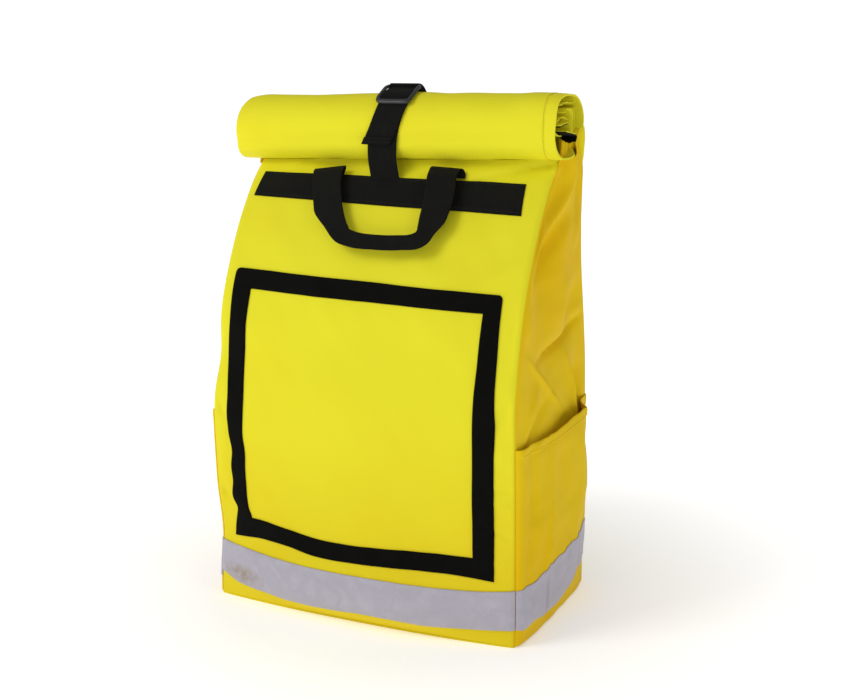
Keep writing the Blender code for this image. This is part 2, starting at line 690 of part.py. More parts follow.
def build_closure_strap_back(webbing):
    """From the back webbing over the roll to the buckle's rear bar, with its sewn return."""
    foot = BACK_WEBBING_HIGH + STRAP_LAYER
    leave = BODY_HEIGHT + BACK_STRAP_LEAVES * BACK_RISE
    rows = np.concatenate(([foot], ROWS[(ROWS > foot) & (back_height(ROWS) < leave)]))
    climb = back_point(STRAP_TOP_X, rows, SEAM + WEBBING / 2.0)[:, 1:]
    touch = touch_degrees(climb[-1], STRAP_RADIUS, True)
    bar_end = BUCKLE_REAR_DEG + BUCKLE_BAR_DEG / 2.0
    lift_from = touch + STRAP_RISE_SHARE * (bar_end - touch)
    wrap = arc(touch, lift_from, STRAP_RADIUS, STRAP_RADIUS)
    lift = arc(lift_from, bar_end, STRAP_RADIUS, REAR_BAR_RADIUS - FOLD_RADIUS)[1:]
    bend = fold(REAR_BAR_RADIUS, bar_end, 1.0)
    bar_clear = bar_end - BAR_CLEAR_DEG
    above = REAR_BAR_RADIUS + FOLD_RADIUS
    over = arc(bar_end, bar_clear, above, above)
    back = arc(bar_clear, lift_from, above, STRAP_RADIUS + STRAP_LAYER)[1:]
    path = across_path(np.vstack((climb, wrap, lift, bend, over, back)), (STRAP_TOP_X, STRAP_TOP_X))
    strip_along("closure_strap_back", path, STRAP_WIDTH, WEBBING, webbing)


def ladder(name, centre, normal, side, width, rail, plate, material):
    """Ladder buckle: rails along both sides and a bar over every second space of its rows."""
    across = np.array([-width / 2.0, rail - width / 2.0, width / 2.0 - rail, width / 2.0])
    middle = centre[:, None, :] + across[None, :, None] * side
    half = normal[:, None, :] * plate / 2.0
    mask = np.ones((len(centre) - 1, 3), bool)
    mask[1::2, 1] = False
    return sheet_solid(name, middle + half, middle - half, material, mask)


def build_strap_buckle(plastic):
    """The buckle on top of the roll, bent a little round it."""
    rows = []
    for degrees, radius in ((BUCKLE_FRONT_DEG, FRONT_BAR_RADIUS),
                            (BUCKLE_MIDDLE_DEG, STRAP_RADIUS + FOLD_RADIUS),
                            (BUCKLE_REAR_DEG, REAR_BAR_RADIUS)):
        rows.append((degrees + BUCKLE_BAR_DEG / 2.0, radius))
        rows.append((degrees - BUCKLE_BAR_DEG / 2.0, radius))
    degrees, radius = np.array(rows).T
    centre = np.column_stack((np.full(len(rows), STRAP_TOP_X), roll_point(radius, degrees)))
    angle = np.radians(degrees)
    normal = np.column_stack((np.zeros(len(rows)), np.cos(angle), np.sin(angle)))
    side = np.array([1.0, 0.0, 0.0])
    ladder("strap_buckle", centre, normal, side, BUCKLE_WIDTH, BUCKLE_RAIL, BUCKLE_PLATE, plastic)


def build_handle(webbing):
    """One strip of webbing: both legs hang over the front webbing and join in the grip."""
    leg_lift = table_column(HANDLE_LEG, "lift")
    along = table_column(HANDLE_GRIP, "along")
    lift = np.concatenate((leg_lift, np.ones(len(along)), leg_lift[::-1]))
    edges = {}
    for label in ("outer", "inner"):
        share = table_column(HANDLE_LEG, label + "_x")
        drop = table_column(HANDLE_LEG, label + "_drop")
        grip_drop = table_column(HANDLE_GRIP, label + "_drop")
        lean = HANDLE_LEAN * (drop - drop[0])
        left = HANDLE_LEG_LEFT + HANDLE_WIDTH * share + lean
        right = HANDLE_LEG_RIGHT - HANDLE_WIDTH * share + lean
        middle = left[-1] + (right[-1] - left[-1]) * along
        x = np.concatenate((left, middle, right[::-1]))
        drops = np.concatenate((drop, grip_drop, drop[::-1]))
        edges[label] = front_point(x, FRONT_WEBBING_HIGH - HANDLE_DROP * drops, HANDLE_STAND_OFF * lift)
    strip("carry_handle", edges["outer"], edges["inner"], WEBBING, webbing)


def build_back_straps(webbing, padding, plastic):
    """Anchor webbing, padded shoulder straps, their lower webbing and adjusters."""
    columns = between(BACK_COLUMNS, -BACK_WEBBING_LENGTH / 2.0, BACK_WEBBING_LENGTH / 2.0)
    x, row = np.meshgrid(columns, between(ROWS, BACK_WEBBING_LOW, BACK_WEBBING_HIGH), indexing="ij")
    sheet_solid("back_webbing", back_point(x, row, SEAM + WEBBING), back_point(x, row, SEAM), webbing)
    drop = table_column(SHOULDER, "drop")
    bow = table_column(SHOULDER, "bow")
    out = table_column(SHOULDER, "out")
    top = back_point(0.0, BACK_WEBBING_HIGH - 2.0 * CLOTH, STRAP_LAYER + SEAM + SHOULDER_THICKNESS / 2.0)
    across = np.array([-0.5, -SHOULDER_FLAT_SHARE, SHOULDER_FLAT_SHARE, 0.5]) * SHOULDER_WIDTH
    round_off = np.array([SHOULDER_RIM_SHARE, 1.0, 1.0, SHOULDER_RIM_SHARE])[None, :, None]
    for label, side in (("right", 1.0), ("left", -1.0)):
        x = side * (SHOULDER_TOP_X + (SHOULDER_END_X - SHOULDER_TOP_X) * out)
        centre = np.column_stack((x, top[1] + SHOULDER_BOW * bow, top[2] - SHOULDER_DROP * drop))
        width_way = np.tile(np.array([1.0, 0.0, 0.0]), (len(centre), 1))
        normal = -strip_normals(centre, width_way)
        middle = centre[:, None, :] + across[None, :, None] * width_way[:, None, :]
        half = normal[:, None, :] * SHOULDER_THICKNESS / 2.0 * round_off
        sheet_solid("shoulder_strap_" + label, middle + half, middle - half, padding)
        under = -normal * (SHOULDER_THICKNESS / 2.0 + STRAP_LAYER - WEBBING / 2.0)
        start = (centre + under)[-2:]
        end_x = side * LOWER_WEBBING_END_X
        end = back_point(end_x, np.array([LOWER_WEBBING_END_Z + LOWER_WEBBING_WIDTH, LOWER_WEBBING_END_Z]),
                         SEAM + WEBBING / 2.0)
        steps = np.linspace(0.0, 1.0, LOWER_WEBBING_STEPS + 1)[1:-1, None]
        below = start[-1] + (end[0] - start[-1]) * steps
        lower = np.vstack((start, below, end))
        strip_along("lower_webbing_" + label, lower, LOWER_WEBBING_WIDTH, WEBBING, webbing)
        build_adjuster("strap_adjuster_" + label, start[-1], end[0], plastic)


def build_adjuster(name, start, end, plastic):
    """Three bars on the straight run of the lower webbing, the middle one on its bag side."""
    along = (end - start) / np.linalg.norm(end - start)
    side = np.array([1.0, 0.0, 0.0])
    normal = -np.cross(along, side)
    normal = normal / np.linalg.norm(normal)
    offset = WEBBING / 2.0 + SEAM + BUCKLE_PLATE / 2.0
    rows = []
    at = ADJUSTER_START
    for sign in (1.0, -1.0, 1.0):
        rows.append(start + along * at + normal * offset * sign)
        rows.append(start + along * (at + ADJUSTER_BAR) + normal * offset * sign)
        at += ADJUSTER_BAR + ADJUSTER_GAP
    width = LOWER_WEBBING_WIDTH + 2.0 * (ADJUSTER_RAIL + 2.0 * SEAM)
    normals = np.tile(normal, (len(rows), 1))
    ladder(name, np.array(rows), normals, side, width, ADJUSTER_RAIL, BUCKLE_PLATE, plastic)


def main():
    """Build the whole bag."""
    clear_scene()
    cloth = make_material("coated_cloth", YELLOW, 0.55)
    reflective = make_material("reflective_tape", GREY, 0.35)
    webbing = make_material("black_webbing", BLACK_WEBBING, 0.85)
    loop_tape = make_material("loop_tape", BLACK_TAPE, 0.95)
    padding = make_material("strap_cloth", BLACK_WEBBING, 0.90)
    plastic = make_material("black_plastic", BLACK_PLASTIC, 0.40)
    build_panels(cloth)
    build_pockets(cloth, reflective)
    build_front_strips(webbing, loop_tape, reflective)
    build_roll(cloth)
    build_mouth_tape(webbing)
    build_closure_strap(webbing)
    build_closure_strap_back(webbing)
    build_strap_buckle(plastic)
    build_handle(webbing)
    build_back_straps(webbing, padding, plastic)


main()
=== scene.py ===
"""Looks of the roll-top backpack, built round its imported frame.

Every wall, strap and tape is a surface worked out as a whole array from the bag's sizes: a
point of a wall is a place across it and a row, its height on the flat cloth, and a piece
that lies on the wall is lifted off it along the surface's normal. Metres, +Z up, -Y is the
front and +X the right side seen from the front.
"""
from __future__ import annotations

import logging
import math
from dataclasses import dataclass
from enum import Enum
from typing import Callable, Sequence

import bmesh
import bpy
import numpy as np
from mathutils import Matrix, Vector

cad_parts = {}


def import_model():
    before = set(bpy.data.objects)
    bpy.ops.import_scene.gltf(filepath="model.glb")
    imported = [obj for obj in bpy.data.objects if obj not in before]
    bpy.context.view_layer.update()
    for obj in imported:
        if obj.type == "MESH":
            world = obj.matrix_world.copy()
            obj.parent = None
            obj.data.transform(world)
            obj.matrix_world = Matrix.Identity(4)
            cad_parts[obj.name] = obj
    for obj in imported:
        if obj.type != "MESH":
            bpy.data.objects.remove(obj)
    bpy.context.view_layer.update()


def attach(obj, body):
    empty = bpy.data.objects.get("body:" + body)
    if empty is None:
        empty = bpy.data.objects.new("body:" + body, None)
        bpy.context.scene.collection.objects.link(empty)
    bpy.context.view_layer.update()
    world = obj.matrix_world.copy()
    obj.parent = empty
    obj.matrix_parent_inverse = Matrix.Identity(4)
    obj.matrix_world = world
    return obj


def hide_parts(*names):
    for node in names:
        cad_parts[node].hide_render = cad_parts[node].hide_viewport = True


LOG = logging.getLogger("backpack")
Array = np.ndarray
Piece = bpy.types.Object
Socket = bpy.types.NodeSocket
Node = bpy.types.Node
Surface = Callable[[Array, Array], Array]
BODY = "root"
NORMAL_STEP = 0.0006
SHARP_DEG = 52.0


class Side(Enum):
    """Which side of the bag a piece is on, as the sign of its X."""

    RIGHT = 1.0
    LEFT = -1.0

    @property
    def label(self) -> str:
        """The side's name at the end of node names."""
        return self.name.lower()


@dataclass(frozen=True)
class Table:
    """Chosen rows of numbers under named columns, read smoothly between the rows."""

    columns: tuple[str, ...]
    rows: tuple[tuple[float, ...], ...]

    def values(self, name: str) -> Array:
        """All the numbers of one column."""
        place = self.columns.index(name)
        return np.array([row[place] for row in self.rows], float)

    def at(self, name: str, place: Array | float) -> Array:
        """A column at any place of the first column.

        A cubic through the rows: its slope at a row is the mean slope of its neighbours.

        Args:
            name: Column to read.
            place: Places on the first column, held to its range.

        Returns:
            The column's numbers at those places.
        """
        first = self.values(self.columns[0])
        values = self.values(name)
        slopes = np.gradient(values, first)
        place = np.clip(np.asarray(place, float), first[0], first[-1])
        low = np.clip(np.searchsorted(first, place, side="right") - 1, 0, len(first) - 2)
        span = first[low + 1] - first[low]
        t = (place - first[low]) / span
        start = (1 + 2 * t) * (1 - t) ** 2 * values[low] + t * (1 - t) ** 2 * span * slopes[low]
        end = t * t * (3 - 2 * t) * values[low + 1] + t * t * (t - 1) * span * slopes[low + 1]
        return start + end


@dataclass(frozen=True)
class Crease:
    """One soft fold along a line of a wall, standing out or, with a negative height, pressed in."""

    start: tuple[float, float]
    end: tuple[float, float]
    width: float
    height: float
    lean: float = 0.0
    bend: float = 0.0

    def relief(self, u: Array, v: Array) -> Array:
        """How far the cloth stands out at (u, v).

        The height times a bell across the fold times a half sine along it. lean makes one
        flank steeper, and bend bows the line sideways by that many metres at its middle.

        Args:
            u: First coordinate of the points on the wall.
            v: Second coordinate.

        Returns:
            Relief in metres.
        """
        run = np.array(self.end) - np.array(self.start)
        length = float(np.hypot(*run))
        along = ((u - self.start[0]) * run[0] + (v - self.start[1]) * run[1]) / length
        across = ((v - self.start[1]) * run[0] - (u - self.start[0]) * run[1]) / length
        share = np.clip(along / length, 0.0, 1.0)
        across = across - self.bend * 4.0 * share * (1.0 - share)
        beyond = along - share * length
        near = (across / self.width) ** 2 + (beyond / (2.0 * self.width)) ** 2
        flank = 1.0 + self.lean * np.tanh(across / (0.35 * self.width))
        return self.height * np.exp(-near) * flank * np.sin(np.pi * (0.12 + 0.76 * share))


def fold_relief(folds: Sequence[Crease], u: Array, v: Array) -> Array:
    """Sum of the relief of several folds at (u, v), in metres."""
    total = np.zeros(np.broadcast(u, v).shape)
    for fold in folds:
        total = total + fold.relief(u, v)
    return total


def smooth_step(value: Array | float) -> Array:
    """0 below 0, 1 above 1, and an S curve between."""
    share = np.clip(value, 0.0, 1.0)
    return share * share * (3.0 - 2.0 * share)


def ripple(u: Array, v: Array, length: float, height: float, seed: int) -> Array:
    """Uneven swelling of slack cloth.

    The mean of eight sine waves with seeded directions, phases and lengths near the given one.

    Args:
        u: First coordinate in metres.
        v: Second coordinate in metres.
        length: Wave length in metres.
        height: Largest relief in metres.
        seed: Seed of the draw.

    Returns:
        Relief in metres, on both sides of zero.
    """
    draw = np.random.default_rng(seed)
    total = np.zeros(np.broadcast(u, v).shape)
    waves = 8
    for turn, phase, stretch in draw.uniform((0.0, 0.0, 0.7), (np.pi, 2 * np.pi, 1.6), (waves, 3)):
        reach = (u * np.cos(turn) + v * np.sin(turn)) / (length * stretch)
        total = total + np.sin(2 * np.pi * reach + phase)
    return height * total / math.sqrt(2.0 * waves)


def unit(vectors: Array) -> Array:
    """Vectors scaled to a length of 1."""
    return vectors / np.linalg.norm(vectors, axis=-1, keepdims=True)


def run_along(points: Array) -> Array:
    """Length run along a path at each of its points, from 0."""
    return np.concatenate(([0.0], np.cumsum(np.linalg.norm(np.diff(points, axis=0), axis=1))))


def resampled(at: Array, run: Array, values: Array) -> Array:
    """Rows of values, known at lengths run along a path, read at other lengths."""
    return np.column_stack([np.interp(at, run, column) for column in values.T])


def squared_ring(around: int, power: float) -> tuple[Array, Array]:
    """Cosine and sine round a circle, each to a power and signed: a superellipse."""
    turn = 2.0 * np.pi * np.arange(around) / around
    across, up = np.cos(turn), np.sin(turn)
    return np.sign(across) * np.abs(across) ** power, np.sign(up) * np.abs(up) ** power


def lifted(surface: Surface, a: Array, b: Array, lift: Array | float) -> Array:
    """Points of a surface moved off along its normal.

    The normal is the cross product of two small steps along the surface.

    Args:
        surface: Function of two parameters that gives points.
        a: First parameter.
        b: Second parameter.
        lift: Distance off the surface in metres.

    Returns:
        Points, one row of three numbers for each pair of parameters.
    """
    a, b = np.broadcast_arrays(np.asarray(a, float), np.asarray(b, float))
    along = surface(a + NORMAL_STEP, b) - surface(a - NORMAL_STEP, b)
    up = surface(a, b + NORMAL_STEP) - surface(a, b - NORMAL_STEP)
    return surface(a, b) + unit(np.cross(along, up)) * np.asarray(lift, float)[..., None]


def lines(low: float, high: float, step: float) -> Array:
    """Evenly spaced places from low to high, no further apart than step."""
    return np.linspace(low, high, max(1, math.ceil((high - low) / step)) + 1)


def even_path(points: Array, step: float) -> Array:
    """A smooth path through chosen points, sampled at even steps.

    A cubic through the points over their summed distances, then spaced by its own length.

    Args:
        points: Chosen points, one per row.
        step: Largest distance between the samples.

    Returns:
        Sampled points.
    """
    points = np.asarray(points, float)
    columns = range(points.shape[1])
    rows = np.column_stack((run_along(points), points))
    length = rows[:, 0]
    table = Table(("at", *map(str, columns)), tuple(map(tuple, rows)))
    fine = lines(0.0, length[-1], step / 4.0)
    curve = np.column_stack([table.at(str(k), fine) for k in columns])
    run = run_along(curve)
    return resampled(lines(0.0, run[-1], step), run, curve)


def grid_uv(points: Array) -> Array:
    """Texture place of each point of a grid in metres: the mean lengths run along both ways."""
    u = np.linalg.norm(np.diff(points, axis=0), axis=2).mean(axis=1)
    v = np.linalg.norm(np.diff(points, axis=1), axis=2).mean(axis=0)
    u = np.concatenate(([0.0], np.cumsum(u)))
    v = np.concatenate(([0.0], np.cumsum(v)))
    return np.stack(np.meshgrid(u, v, indexing="ij"), axis=-1)


def make_piece(name: str, points: Array, faces: Array, uv: Array | None = None) -> Piece:
    """Object at the origin with its place in its mesh.

    Args:
        name: Name of the piece.
        points: Corner points.
        faces: Corner numbers, four per face.
        uv: Texture place of every point, if the finish follows the surface.

    Returns:
        The new object, with its faces turned outwards.
    """
    corners = points[faces]
    volume = np.einsum("ij,ij->i", corners[:, 0], np.cross(corners[:, 1], corners[:, 2])).sum()
    volume += np.einsum("ij,ij->i", corners[:, 0], np.cross(corners[:, 2], corners[:, 3])).sum()
    if volume < 0.0:
        faces = faces[:, ::-1]
    mesh = bpy.data.meshes.new(name)
    mesh.from_pydata(points, [], faces)
    mesh.polygons.foreach_set("use_smooth", np.ones(len(faces), bool))
    mesh.set_sharp_from_angle(angle=math.radians(SHARP_DEG))
    if uv is not None:
        layer = mesh.uv_layers.new(name="Cloth")
        layer.uv.foreach_set("vector", uv[faces].astype(np.float32).ravel())
    mesh.update()
    piece = bpy.data.objects.new(name, mesh)
    bpy.context.scene.collection.objects.link(piece)
    return piece


def sheet(name: str, top: Array, bottom: Array, keep: Array | None = None) -> Piece:
    """Closed sheet between two grids of points.

    Args:
        name: Name of the piece.
        top: Grid of points of the outer face.
        bottom: Grid of points of the inner face.
        keep: Which cells of the grid are cloth, or None for all.

    Returns:
        The new object.
    """
    across, up = top.shape[:2]
    number = np.arange(across * up).reshape(across, up)
    a, b, c, d = number[:-1, :-1], number[1:, :-1], number[1:, 1:], number[:-1, 1:]
    keep = np.ones(a.shape, bool) if keep is None else keep
    padded = np.pad(keep, 1)
    under = across * up
    faces = [np.stack((a, b, c, d), -1)[keep], np.stack((a, d, c, b), -1)[keep] + under]
    for first, second, beside in ((a, d, padded[:-2, 1:-1]), (c, b, padded[2:, 1:-1]),
                                  (b, a, padded[1:-1, :-2]), (d, c, padded[1:-1, 2:])):
        rim = keep & ~beside
        faces.append(np.stack((first, second, second + under, first + under), -1)[rim])
    faces = np.concatenate(faces)
    used, faces = np.unique(faces, return_inverse=True)
    faces = faces.reshape(-1, 4)
    points = np.concatenate((top.reshape(-1, 3), bottom.reshape(-1, 3)))[used]
    place = grid_uv(top).reshape(-1, 2)
    return make_piece(name, points, faces, np.concatenate((place, place))[used])


def rounded(count: int, width: float, edge: float) -> tuple[Array, Array]:
    """Places across a strap and its share of thickness there.

    The share follows a quarter circle over the last stretch at both edges.

    Args:
        count: Places between the rounded edges.
        width: Width of the strap.
        edge: Length of the rounded stretch.

    Returns:
        Places from minus to plus half the width, and shares from near 0 to 1.
    """
    turn = np.radians(np.array([8.0, 30.0, 60.0]))
    left = -width / 2.0 + edge * (1.0 - np.cos(turn))
    places = np.concatenate((left, np.linspace(edge - width / 2.0, width / 2.0 - edge, count), -left[::-1]))
    inward = np.clip((width / 2.0 - np.abs(places)) / edge, 0.0, 1.0)
    return places, np.sqrt(1.0 - (1.0 - inward) ** 2)


def path_frame(centre: Array, side: Array) -> Array:
    """Normals along a path, square to its direction and to its side directions."""
    return unit(np.cross(np.gradient(centre, axis=0), side))


def ribbon(name: str, left: Array, right: Array, thickness: float, step: float = 0.0025) -> Piece:
    """Strip of webbing between two rows of chosen edge points, with soft edges.

    Both edges become smooth paths, and across them the thickness follows `rounded`.

    Args:
        name: Name of the piece.
        left: Chosen points of one edge.
        right: Chosen points of the other edge.
        thickness: Thickness of the webbing.
        step: Largest step along it.

    Returns:
        The new object.
    """
    both = even_path(np.hstack((left, right)), step * math.sqrt(2.0))
    left, right = both[:, :3], both[:, 3:]
    width = float(np.linalg.norm(right - left, axis=1).mean())
    centre = (left + right) / 2.0
    normal = path_frame(centre, unit(right - left))
    places, share = rounded(9, width, min(0.0008, thickness * 0.6))
    middle = centre[:, None, :] + ((right - left)[:, None, :] * (places / width)[None, :, None])
    half = normal[:, None, :] * (thickness / 2.0 * share)[None, :, None]
    return sheet(name, middle + half, middle - half)


def ring_sweep(centre: Array, out: Array, half_wide: Array, half_high: Array,
               around: int = 14, power: float = 0.75) -> tuple[Array, Array]:
    """Bar with a rounded section carried round a closed path.

    The section is the superellipse of `sweep`, with its height along the outward directions.

    Args:
        centre: Points of the path, the last one next to the first.
        out: Outward direction at each point.
        half_wide: Half the width at each point.
        half_high: Half the height at each point.
        around: Points round the section.
        power: Below 1 squares the section's corners.

    Returns:
        Points and faces of the ring.
    """
    side = unit(np.cross(out, np.roll(centre, -1, axis=0) - np.roll(centre, 1, axis=0)))
    across, up = squared_ring(around, power)
    points = centre[:, None, :] + side[:, None, :] * (half_wide[:, None] * across)[..., None]
    points = points + out[:, None, :] * (half_high[:, None] * up)[..., None]
    number = np.arange(len(centre) * around).reshape(len(centre), around)
    ahead, after = np.roll(number, -1, axis=0), np.roll(number, -1, axis=1)
    faces = np.stack((number, after, np.roll(ahead, -1, axis=1), ahead), axis=-1)
    return points.reshape(-1, 3), faces.reshape(-1, 4)


def sweep(centre: Array, side: Array, half_wide: Array, half_high: Array,
          around: int = 12, power: float = 0.75) -> tuple[Array, Array]:
    """Bar with a rounded section carried along a path, closed at both ends.

    The section is a superellipse: cosine and sine, each to the given power and signed.

    Args:
        centre: Points of the path.
        side: Direction of the bar's width at each point.
        half_wide: Half the width at each point.
        half_high: Half the height at each point.
        around: Points round the section.
        power: Below 1 squares the section's corners.

    Returns:
        Points and faces of the bar.
    """
    normal = path_frame(centre, side)
    across, up = squared_ring(around, power)
    ring = centre[:, None, :] + side[:, None, :] * (half_wide[:, None] * across)[..., None]
    ring = ring + normal[:, None, :] * (half_high[:, None] * up)[..., None]
    ends = np.repeat(centre[[0, -1]][:, None, :], around, axis=1)
    rings = np.concatenate((ends[:1], ring, ends[1:]))
    number = np.arange(len(rings) * around).reshape(len(rings), around)
    after = np.roll(number, -1, axis=1)
    faces = np.stack((number[:-1], after[:-1], after[1:], number[1:]), axis=-1).reshape(-1, 4)
    return rings.reshape(-1, 3), faces


def joined(name: str, bars: Sequence[tuple[Array, Array]]) -> Piece:
    """One piece of several closed bars, with the doubled points of their ends merged."""
    points, faces, count = [], [], 0
    for bar_points, bar_faces in bars:
        points.append(bar_points)
        faces.append(bar_faces + count)
        count += len(bar_points)
    piece = make_piece(name, np.concatenate(points), np.concatenate(faces))
    work = bmesh.new()
    work.from_mesh(piece.data)
    bmesh.ops.remove_doubles(work, verts=work.verts, dist=1e-7)
    bmesh.ops.recalc_face_normals(work, faces=work.faces)
    work.to_mesh(piece.data)
    work.free()
    piece.data.polygons.foreach_set("use_smooth", np.ones(len(piece.data.polygons), bool))
    return piece


# Outline of the walls by the share of the height: the front and back edge, belly, flank and
# droop as shares of half the depth, and the skew as a share of half the width
BODY_SHAPE = Table(("height", "front", "back", "belly", "flank", "droop", "skew"), (
    (0.000, -1.000, 1.000, 0.070, 0.045, 0.000, 0.000),
    (0.035, -1.000, 1.000, 0.210, 0.055, 0.040, 0.000),
    (0.118, -1.005, 1.000, 0.245, 0.055, 0.046, 0.000),
    (0.150, -1.010, 1.000, 0.160, 0.052, 0.006, 0.000),
    (0.190, -1.015, 1.000, 0.125, 0.050, 0.000, 0.001),
    (0.330, -1.035, 1.005, 0.100, 0.040, 0.000, 0.004),
    (0.435, -1.055, 1.005, 0.090, 0.030, 0.000, 0.008),
    (0.525, -1.035, 0.990, 0.085, 0.020, 0.000, 0.014),
    (0.610, -0.965, 0.940, 0.080, 0.010, 0.000, 0.020),
    (0.700, -0.855, 0.860, 0.075, 0.000, 0.000, 0.024),
    (0.785, -0.690, 0.785, 0.065, 0.000, 0.000, 0.022),
    (0.870, -0.475, 0.755, 0.050, 0.000, 0.000, 0.018),
    (0.955, -0.175, 0.755, 0.030, 0.010, 0.000, 0.000),
    (1.000, 0.035, 0.735, 0.010, 0.020, 0.000, -0.024),
    (1.030, 0.100, 0.600, 0.000, 0.020, 0.000, -0.024),
    (1.065, 0.200, 0.450, 0.000, 0.020, 0.000, -0.024),
))
# Rounded dents, pressed in or with a minus sign standing out, as shares of the wall
FRONT_DENTS = Table(("across", "height", "spread_across", "spread_up", "depth"), (
    (-1.00, 0.150, 0.42, 0.085, 0.036),
    (-1.00, 0.560, 0.40, 0.060, 0.036),
    (0.55, 0.930, 0.22, 0.035, 0.012),
    (-0.45, 0.960, 0.20, 0.030, 0.012),
))
SIDE_DENTS = Table(("along", "height", "spread_along", "spread_up", "depth"), (
    (0.60, 0.300, 0.40, 0.200, -0.016),
    (0.24, 0.850, 0.14, 0.150, 0.050),
    (0.55, 0.800, 0.16, 0.140, -0.018),
    (0.80, 0.720, 0.12, 0.120, 0.020),
    (0.45, 0.590, 0.16, 0.035, 0.020),
    (0.86, 0.505, 0.10, 0.050, 0.034),
    (0.60, 0.985, 0.30, 0.040, -0.030),
))
POCKET_ALONG = Table(
    ("along", "swell"),
    ((0.00, 0.00), (0.15, 0.12), (0.35, 0.42), (0.55, 0.78), (0.75, 1.00), (0.90, 1.00), (1.00, 0.10)),
)
POCKET_UP = Table(
    ("height", "swell"),
    ((0.00, 0.00), (0.10, 0.30), (0.29, 0.78), (0.55, 1.00), (0.75, 1.00), (1.00, 0.86)),
)
ROLL_SECTIONS = Table(("along", "radius"), (
    (0.000, 0.900),
    (0.012, 0.950),
    (0.040, 0.985),
    (0.12, 0.995),
    (0.30, 0.985),
    (0.42, 1.000),
    (0.56, 1.000),
    (0.75, 0.970),
    (0.90, 0.965),
    (1.00, 0.935),
))

# Folds of the front wall, as places (x, row) in metres
FRONT_FOLDS = (
    Crease((0.207, 0.568), (0.120, 0.553), 0.0060, -0.0085, lean=-0.4),
    Crease((0.196, 0.556), (0.060, 0.564), 0.0060, 0.0034),
    Crease((-0.130, 0.571), (-0.060, 0.561), 0.0060, -0.0060),
    Crease((-0.170, 0.556), (-0.040, 0.540), 0.0090, 0.0014),
    Crease((-0.120, 0.500), (-0.060, 0.440), 0.0220, -0.0030),
    Crease((-0.170, 0.500), (-0.130, 0.445), 0.0200, 0.0020),
    Crease((0.060, 0.500), (0.110, 0.455), 0.0160, -0.0024),
    Crease((0.190, 0.520), (0.120, 0.440), 0.0220, -0.0034),
    Crease((0.200, 0.470), (0.150, 0.440), 0.0120, 0.0022),
    Crease((0.207, 0.312), (0.184, 0.270), 0.0090, -0.0030),
    Crease((0.209, 0.262), (0.186, 0.236), 0.0070, 0.0020),
    Crease((0.210, 0.205), (0.186, 0.196), 0.0050, -0.0022),
    Crease((0.210, 0.178), (0.190, 0.182), 0.0040, 0.0012),
    Crease((0.210, 0.140), (0.186, 0.146), 0.0045, -0.0022),
    Crease((0.210, 0.112), (0.188, 0.108), 0.0040, 0.0014),
    Crease((-0.208, 0.268), (-0.190, 0.240), 0.0080, -0.0024, lean=0.4),
    Crease((-0.206, 0.146), (-0.188, 0.132), 0.0060, -0.0024, lean=0.4),
    Crease((-0.198, 0.165), (-0.194, 0.235), 0.0060, 0.0014),
    Crease((-0.060, 0.300), (0.080, 0.210), 0.0450, 0.0026),
    Crease((-0.140, 0.400), (0.020, 0.330), 0.0500, -0.0024),
    Crease((0.150, 0.180), (-0.060, 0.140), 0.0260, -0.0022),
    Crease((0.040, 0.380), (0.150, 0.300), 0.0380, -0.0018),
)
# Folds of the right side wall and its pocket, as places (y, row) in metres. The left side
# has them too, a little further back.
SIDE_FOLDS = (
    Crease((-0.004, 0.560), (-0.074, 0.468), 0.0070, -0.0130, lean=0.5),
    Crease((0.034, 0.545), (-0.050, 0.480), 0.0085, 0.0085),
    Crease((0.022, 0.512), (-0.058, 0.448), 0.0100, -0.0070),
    Crease((0.080, 0.520), (0.056, 0.470), 0.0120, 0.0050),
    Crease((0.072, 0.560), (0.070, 0.520), 0.0100, -0.0040),
    Crease((0.080, 0.460), (0.006, 0.395), 0.0240, 0.0040),
    Crease((0.086, 0.420), (0.020, 0.380), 0.0120, -0.0030),
    Crease((0.090, 0.374), (-0.050, 0.345), 0.0090, -0.0085, lean=-0.6, bend=0.006),
    Crease((-0.084, 0.352), (0.012, 0.272), 0.0060, 0.0042, lean=-0.7),
    Crease((0.042, 0.326), (0.072, 0.240), 0.0085, 0.0065, lean=-0.5),
    Crease((0.080, 0.335), (0.092, 0.240), 0.0140, -0.0055),
    Crease((-0.060, 0.318), (-0.112, 0.256), 0.0110, 0.0048),
    Crease((-0.028, 0.300), (-0.094, 0.250), 0.0080, -0.0048),
    Crease((0.010, 0.290), (0.040, 0.262), 0.0080, 0.0024),
    Crease((-0.100, 0.430), (-0.085, 0.360), 0.0080, 0.0024),
)
POCKET_FOLDS = (
    Crease((-0.054, 0.262), (-0.056, 0.060), 0.0030, 0.0026),
    Crease((-0.046, 0.262), (-0.048, 0.060), 0.0050, -0.0018),
    Crease((-0.100, 0.250), (-0.092, 0.165), 0.0085, -0.0032, lean=0.4),
    Crease((-0.088, 0.185), (-0.104, 0.085), 0.0085, -0.0040, lean=-0.4),
    Crease((-0.072, 0.170), (-0.080, 0.110), 0.0080, 0.0026),
    Crease((-0.052, 0.128), (-0.062, 0.076), 0.0050, 0.0034),
    Crease((-0.110, 0.236), (-0.030, 0.246), 0.0050, -0.0014),
    Crease((0.030, 0.240), (0.080, 0.120), 0.0240, 0.0032),
    Crease((-0.020, 0.230), (0.010, 0.100), 0.0160, -0.0022),
    Crease((-0.056, 0.078), (-0.052, 0.020), 0.0022, -0.0036, lean=0.5),
    Crease((-0.048, 0.078), (-0.046, 0.022), 0.0035, 0.0020),
    Crease((0.010, 0.100), (0.016, 0.050), 0.0040, 0.0022),
    Crease((0.046, 0.100), (0.054, 0.040), 0.0045, -0.0026),
)
